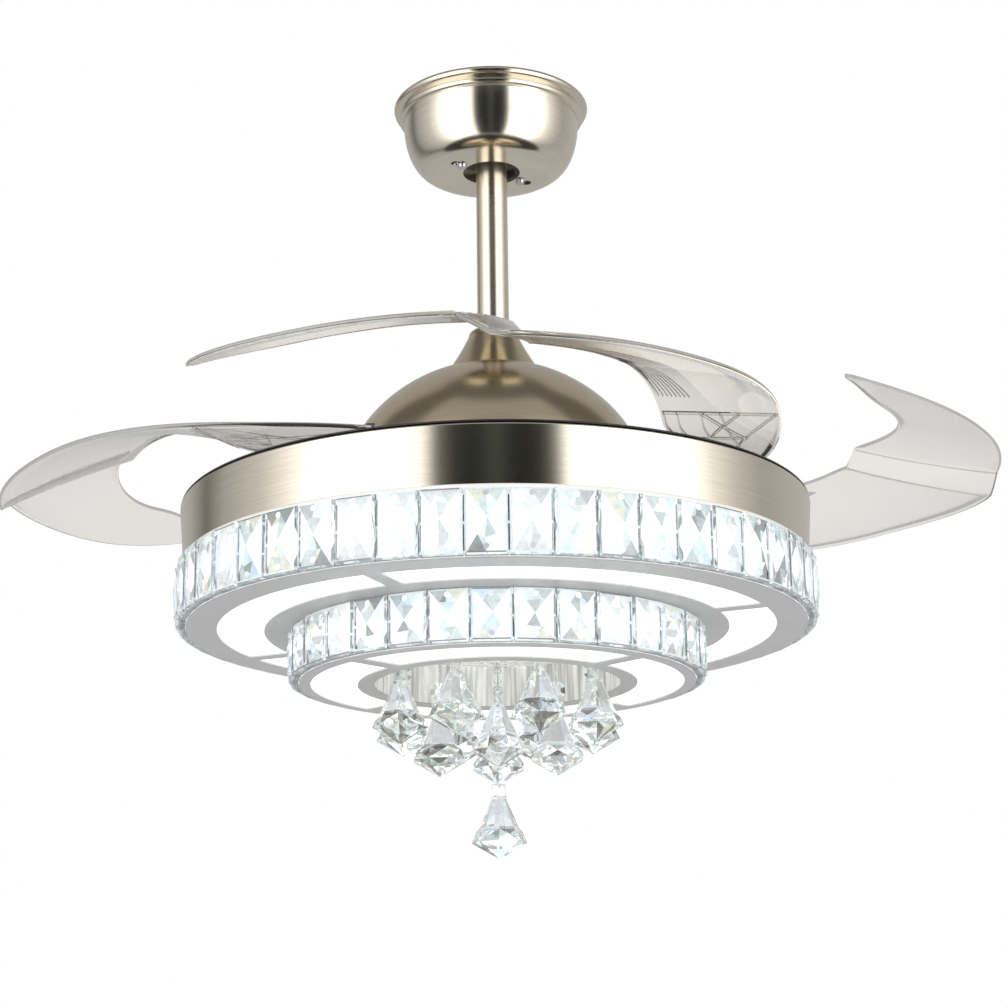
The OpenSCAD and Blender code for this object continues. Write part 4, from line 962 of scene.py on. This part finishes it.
# Painted reflections, glints and shade for the facets of the drops and beads.
LONG_PAINTED_REFLECTIONS = ((0.72, 0.71, 0.68), (0.95, 0.95, 0.94), (0.8, 0.8, 0.78), (0.9, 0.93, 0.94),
              (0.6, 0.59, 0.56), (0.98, 1, 1))
SMALL_PAINTED_REFLECTIONS = ((1, 1, 1), (1, 1, 1), (1, 1, 1), (0.14, 0.13, 0.12), (0.72, 0.84, 0.95),
               (0.82, 0.94, 0.91), (0.45, 0.46, 0.43), (0.88, 0.86, 0.74), (0.9, 0.95, 1),
               (0.3, 0.32, 0.3))
outer_count = 8
outer_at = 0.080
outer_turn = 22.5
inner_count = 4
inner_at = 0.045
inner_wire = 0.021
drop_h = 0.057
drop_r = 0.021
drop_hole = 0.003
drop_rows = ((0.012, 0.0059), (0.0335, 0.0148), (0.0358, 0.0172))
shoulder_depth = 0.0402
girdle_depth = 0.0448
belly_depth = 0.0487
neck_r = 0.0056
neck_half = 0.0022
bead_h = 0.014
bead_t = 0.003
bead_hole = 0.0024
ring_r = 0.0026
long_ring_r = 0.0036
ring_wire = 0.0005
chain_links = 24
link_hang = 2 * ring_wire + 0.0001
link_step = 2 * ring_r - link_hang
first_ring_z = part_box("hook_eyes")[0].z - 0.0007

drop_glass = cut_glass("drop_glass")


def drop_facets(form, painted_lights, place):
    """One drop, hung from the hole in its neck: long upper facets, a cut girdle and a short point."""

    def corner(x, y, depth):
        return form.verts.new(place @ Vector((x, y, drop_hole - depth)))

    def ring(depth, radius, half_step=0.5):
        turns = [math.pi / 4 * (s + half_step) for s in range(8)]
        return [corner(radius * math.cos(a), radius * math.sin(a), depth) for a in turns]

    def neck(depth, wide, thick):
        plan = [(wide, thick * 0.5), (wide * 0.7, thick), (-wide * 0.7, thick), (-wide, thick * 0.5),
                (-wide, -thick * 0.5), (-wide * 0.7, -thick), (wide * 0.7, -thick), (wide, -thick * 0.5)]
        return [corner(x, y, depth) for x, y in plan]

    cap = neck(0, neck_r - 0.0008, neck_half - 0.0006)
    rows = [cap, neck(0.0009, neck_r, neck_half), neck(0.009, neck_r * 1.03, neck_half)]
    rows += [ring(depth, radius) for depth, radius in drop_rows]
    girdle = ring(girdle_depth, drop_r)
    shoulder = ring(shoulder_depth, drop_r * 0.93, 1)
    belly = ring(belly_depth, drop_r * 0.66, 1)
    tip = corner(0, 0, drop_h)
    painted_facet(form, painted_lights, cap, (0.9, 0.92, 0.92))
    for number, (upper, lower) in enumerate(zip(rows, rows[1:])):
        for i in range(8):
            j = (i + 1) % 8
            painted_light = dice.choice(SMALL_PAINTED_REFLECTIONS if number == 4 else LONG_PAINTED_REFLECTIONS)
            painted_facet(form, painted_lights, (upper[i], lower[i], lower[j], upper[j]), painted_light)
    last = rows[-1]
    for i in range(8):
        j = (i + 1) % 8
        for corners in ((last[i], shoulder[i], last[j]), (last[i], girdle[i], shoulder[i]),
                        (last[j], shoulder[i], girdle[j]), (shoulder[i], girdle[i], girdle[j]),
                        (girdle[i], belly[i], girdle[j]), (girdle[i], tip, belly[i]),
                        (girdle[j], belly[i], tip)):
            painted_facet(form, painted_lights, corners, dice.choice(SMALL_PAINTED_REFLECTIONS))


def bead_facets(form, painted_lights, place):
    """Flat eight-sided bead with a raised, faceted table on both faces, hung from its upper hole."""
    middle = bead_hole - bead_h / 2
    radius = bead_h / 2 / math.cos(math.pi / 8)

    def ring(radius, y):
        turns = [math.pi / 4 * (s + 0.5) for s in range(8)]
        return [form.verts.new(place @ Vector((radius * math.cos(a), y, middle + radius * math.sin(a))))
                for a in turns]

    rows = [ring(radius * 0.5, -bead_t / 2), ring(radius, -bead_t / 6), ring(radius, bead_t / 6),
            ring(radius * 0.5, bead_t / 2)]
    for table in (rows[0], rows[-1][::-1]):
        painted_facet(form, painted_lights, table, (0.95, 0.97, 1))
    for first, second in zip(rows, rows[1:]):
        for i in range(8):
            j = (i + 1) % 8
            painted_facet(form, painted_lights, (first[i], second[i], second[j], first[j]), dice.choice(SMALL_PAINTED_REFLECTIONS))


def wire_loop(form, place, radius, steps=20):
    """Ring of round wire that stands in the place's X and Z plane."""
    rings = []
    for i in range(steps):
        a = 2 * math.pi * i / steps
        ring = []
        for b in (2 * math.pi * k / 6 for k in range(6)):
            r = radius + ring_wire * math.cos(b)
            spot = Vector((r * math.cos(a), ring_wire * math.sin(b), r * math.sin(a)))
            ring.append(form.verts.new(place @ spot))
        rings.append(ring)
    for first, second in zip(rings, rings[1:] + rings[:1]):
        for i in range(6):
            j = (i + 1) % 6
            form.faces.new((first[i], second[i], second[j], first[j]))


def straight_wire(form, place, low, high):
    """Straight length of the same wire, upright."""
    ends = [[form.verts.new(place @ Vector((ring_wire * math.cos(a), ring_wire * math.sin(a), z)))
             for a in (2 * math.pi * k / 8 for k in range(8))] for z in (low, high)]
    sheet_side(form, ends)


def down(distance, quarter=0):
    """A step down from the drop's own frame, turned by quarters of a turn."""
    return Matrix.Translation((0, 0, -distance)) @ Matrix.Rotation(quarter * math.pi / 2, 4, "Z")


def hang(name, at=0, degrees=0, wire=0):
    """Builds one drop with its rings, and hangs it in place of its CAD solids."""
    frame_at = Matrix.Rotation(math.radians(degrees), 4, "Z") @ Matrix.Translation((at, 0, first_ring_z))
    glass, painted_lights, metal = bmesh.new(), [], bmesh.new()
    if name == "centre_drop":
        for i in range(chain_links):
            wire_loop(metal, frame_at @ down(i * link_step, i + 1), ring_r, 14)
        ring_at = (chain_links - 1) * link_step + ring_r - link_hang + long_ring_r
        hook = ring_at + long_ring_r
        wire_loop(metal, frame_at @ down(ring_at, 1), long_ring_r)
        drop_facets(glass, painted_lights, frame_at @ down(hook) @ Matrix.Rotation(math.pi / 8, 4, "Z"))
    else:
        wire_loop(metal, frame_at @ down(0, 1), ring_r)
        bead_at = ring_r + wire
        if wire:
            small = ring_r * 0.62
            wire_loop(metal, frame_at @ down(ring_r + small - link_hang), small, 14)
            wire_loop(metal, frame_at @ down(wire, 1), ring_r)
            straight_wire(metal, frame_at, ring_r - wire, -ring_r - 2 * small + link_hang)
        bead_facets(glass, painted_lights, frame_at @ down(bead_at))
        foot = bead_at + bead_h - 2 * bead_hole
        wire_loop(metal, frame_at @ down(foot + long_ring_r, 1), long_ring_r)
        drop_facets(glass, painted_lights, frame_at @ down(foot + 2 * long_ring_r))
    wires = mesh_of(f"{name}_wires", metal)
    wires.shade_smooth()
    cut = facet_mesh(f"{name}_glass", glass, painted_lights)
    stand_in(f"{name}_wires", wires, chrome, f"{name}_body", "bright_chrome", name)
    stand_in(f"{name}_glass", cut, drop_glass, f"{name}_body", "crystal", name)


for i in range(outer_count):
    hang(f"outer_drop_{i + 1}", outer_at, outer_turn + 360 / outer_count * i)
for i in range(inner_count):
    hang(f"inner_drop_{i + 1}", inner_at, 360 / inner_count * i, inner_wire)
hang("centre_drop")


# ---- Studio ----
# White backdrop, pale floor, soft lights, a round of grey and white screens for the metal to reflect,
# and the camera below the lamp.

CAMERA_AT = (0, -1.687, -0.811)
CAMERA_PITCH = 15.565
CAMERA_YAW = 0.2285
CAMERA_ROLL = -0.75
LENS = 79.2
SOFT_AIR = (0.92, 0.96, 1)
FLOOR_GREY = (0.86, 0.86, 0.86)
FLOOR_SIZE = 9
FLOOR_Z = -1.3
LAMP_MIDDLE = Vector((0, 0, -0.38))
LIGHT_SIZE = 2.4
DIM_OVERHEAD = 0.15
BRIGHT_OVERHEAD = 0.3

world = bpy.data.worlds.new("studio_air")
bpy.context.scene.world = world
world.use_nodes = True
tree = world.node_tree
tree.nodes.clear()
# The camera sees white, also in metal and through glass. All else is lit by a softer air.
path = tree.nodes.new("ShaderNodeLightPath")
mix = tree.nodes.new("ShaderNodeMixShader")
out = tree.nodes.new("ShaderNodeOutputWorld")
rays = path.outputs["Is Camera Ray"]
for kind in ("Is Glossy Ray", "Is Transmission Ray"):
    either = tree.nodes.new("ShaderNodeMath")
    either.operation = "MAXIMUM"
    tree.links.new(rays, either.inputs[0])
    tree.links.new(path.outputs[kind], either.inputs[1])
    rays = either.outputs[0]
tree.links.new(rays, mix.inputs["Fac"])
for socket, colour, strength in ((1, SOFT_AIR, 0.7), (2, (1, 1, 1), 1)):
    air = tree.nodes.new("ShaderNodeBackground")
    air.inputs["Color"].default_value = (*colour, 1)
    air.inputs["Strength"].default_value = strength
    tree.links.new(air.outputs[0], mix.inputs[socket])
tree.links.new(mix.outputs[0], out.inputs["Surface"])


floor_form = bmesh.new()
floor_form.faces.new([floor_form.verts.new((x * FLOOR_SIZE / 2, y * FLOOR_SIZE / 2, 0))
                      for x, y in ((-1, -1), (1, -1), (1, 1), (-1, 1))])
floor_mesh = mesh_of("floor", floor_form, closed=False)
floor = placed("floor", floor_mesh)
floor.location.z = FLOOR_Z
floor.rotation_euler.z = -math.pi
floor_paint, tree, shader = new_finish("floor", FLOOR_GREY, 0, 0.8)
mottle(tree, shader, cloud(tree, 0.5), FLOOR_GREY, 0.97, 1)
floor_mesh.materials.append(floor_paint)

# Angle from the camera's side in degrees, positive to its right, and how bright the screen is there
SCREENS = ((-180, 0.5), (-141, 0.45), (-130, 0.3), (-123, 0.16), (-116, 0.3), (-109, 0.44), (-98, 0.56),
           (-87, 0.7), (-75, 1.2), (-64, 1.9), (-30, 1.9), (-24, 1.5), (-20, 0.12), (-14, 0.02),
           (-7, 0.01), (-2, 0.05), (1, 0.07), (4, 0.03), (9, 0.006), (17, 0.02), (21, 0.2), (25, 1.9),
           (69, 1.9), (80, 1.05), (92, 0.64), (106, 0.43), (130, 0.5), (180, 0.5))


def screen_level(turn):
    """How bright the screens are at an angle, between the places of the list."""
    for (first, dim), (last, bright) in zip(SCREENS, SCREENS[1:]):
        if turn <= last:
            return dim + (bright - dim) * (turn - first) / (last - first)
    return SCREENS[-1][1]


def overhead_level(radius, turn):
    """How bright the screens over the lamp are: light in front and far behind, dim between."""
    front = (1 - ease(60, 76, abs(turn))) * ease(1, 1.5, radius)
    back = ease(108, 126, abs(turn)) * ease(1.1, 1.8, radius)
    return DIM_OVERHEAD + BRIGHT_OVERHEAD * max(front, back)


def screen_round():
    """Screens all round the lamp and on the floor, and a dim one overhead. Only reflections see them."""
    form, levels = bmesh.new(), []
    far, low, split, high, steps = 3.2, -1.29, 1.75, 3, 240
    outline = [(0.9, low), (far, low), (far, split), (far, high)]
    outline += [(far - 0.3 * (k + 1), high) for k in range(9)]
    rims = []
    for i in range(steps):
        a = math.radians(-180 + 360 * i / steps)
        rims.append([form.verts.new((r * math.sin(a), -r * math.cos(a), z)) for r, z in outline])
    for i in range(steps):
        j = (i + 1) % steps
        turn = -180 + 360 * (i + 0.5) / steps
        for k in range(len(outline) - 1):
            form.faces.new((rims[i][k], rims[j][k], rims[j][k + 1], rims[i][k + 1]))
            levels.append(screen_level(turn) if k < 2 else overhead_level(outline[k + 1][0] + 0.15, turn))
    form.faces.new([rim[-1] for rim in rims])
    levels.append(DIM_OVERHEAD)
    mesh = mesh_of("screens", form, closed=False)
    layer = mesh.color_attributes.new("level", "FLOAT_COLOR", "CORNER")
    for face, level in zip(mesh.polygons, levels):
        tinge = 0.85 if level < 0.1 else 1
        for corner in face.loop_indices:
            layer.data[corner].color = (level * tinge, level, level * tinge, 1)
    screens = placed("screens", mesh)
    material, tree, shader = new_finish("screens", (0, 0, 0), 0, 1)
    level = tree.nodes.new("ShaderNodeVertexColor")
    level.layer_name = "level"
    tree.links.new(level.outputs["Color"], shader.inputs["Emission Color"])
    shader.inputs["Emission Strength"].default_value = 1
    mesh.materials.append(material)
    screens.visible_camera = False
    screens.visible_transmission = False
    screens.visible_diffuse = False
    screens.visible_shadow = False


screen_round()


def soft_light(name, place, power):
    """Square soft light aimed at the lamp."""
    light = bpy.data.lights.new(name, "AREA")
    light.size = LIGHT_SIZE
    light.energy = power
    lamp = placed(name, light)
    lamp.location = place
    lamp.rotation_euler = (LAMP_MIDDLE - Vector(place)).to_track_quat("-Z", "Y").to_euler()
    lamp.visible_camera = False
    lamp.visible_glossy = False


soft_light("key_light", (-1.0, -2.2, -1.2), 20)
soft_light("fill_light", (1.8, -1.4, -1.2), 12)

camera = bpy.data.cameras.new("camera")
camera.sensor_fit = "HORIZONTAL"
camera.sensor_width = 36
camera.lens = LENS
viewer = placed("camera", camera)
viewer.location = CAMERA_AT
viewer.rotation_mode = "XYZ"
look = (Matrix.Rotation(math.radians(-CAMERA_YAW), 4, "Z")
        @ Matrix.Rotation(math.radians(90 + CAMERA_PITCH), 4, "X")
        @ Matrix.Rotation(math.radians(CAMERA_ROLL), 4, "Z"))
viewer.rotation_euler = look.to_euler()
bpy.context.scene.camera = viewer
bpy.context.scene.view_settings.view_transform = "Standard"
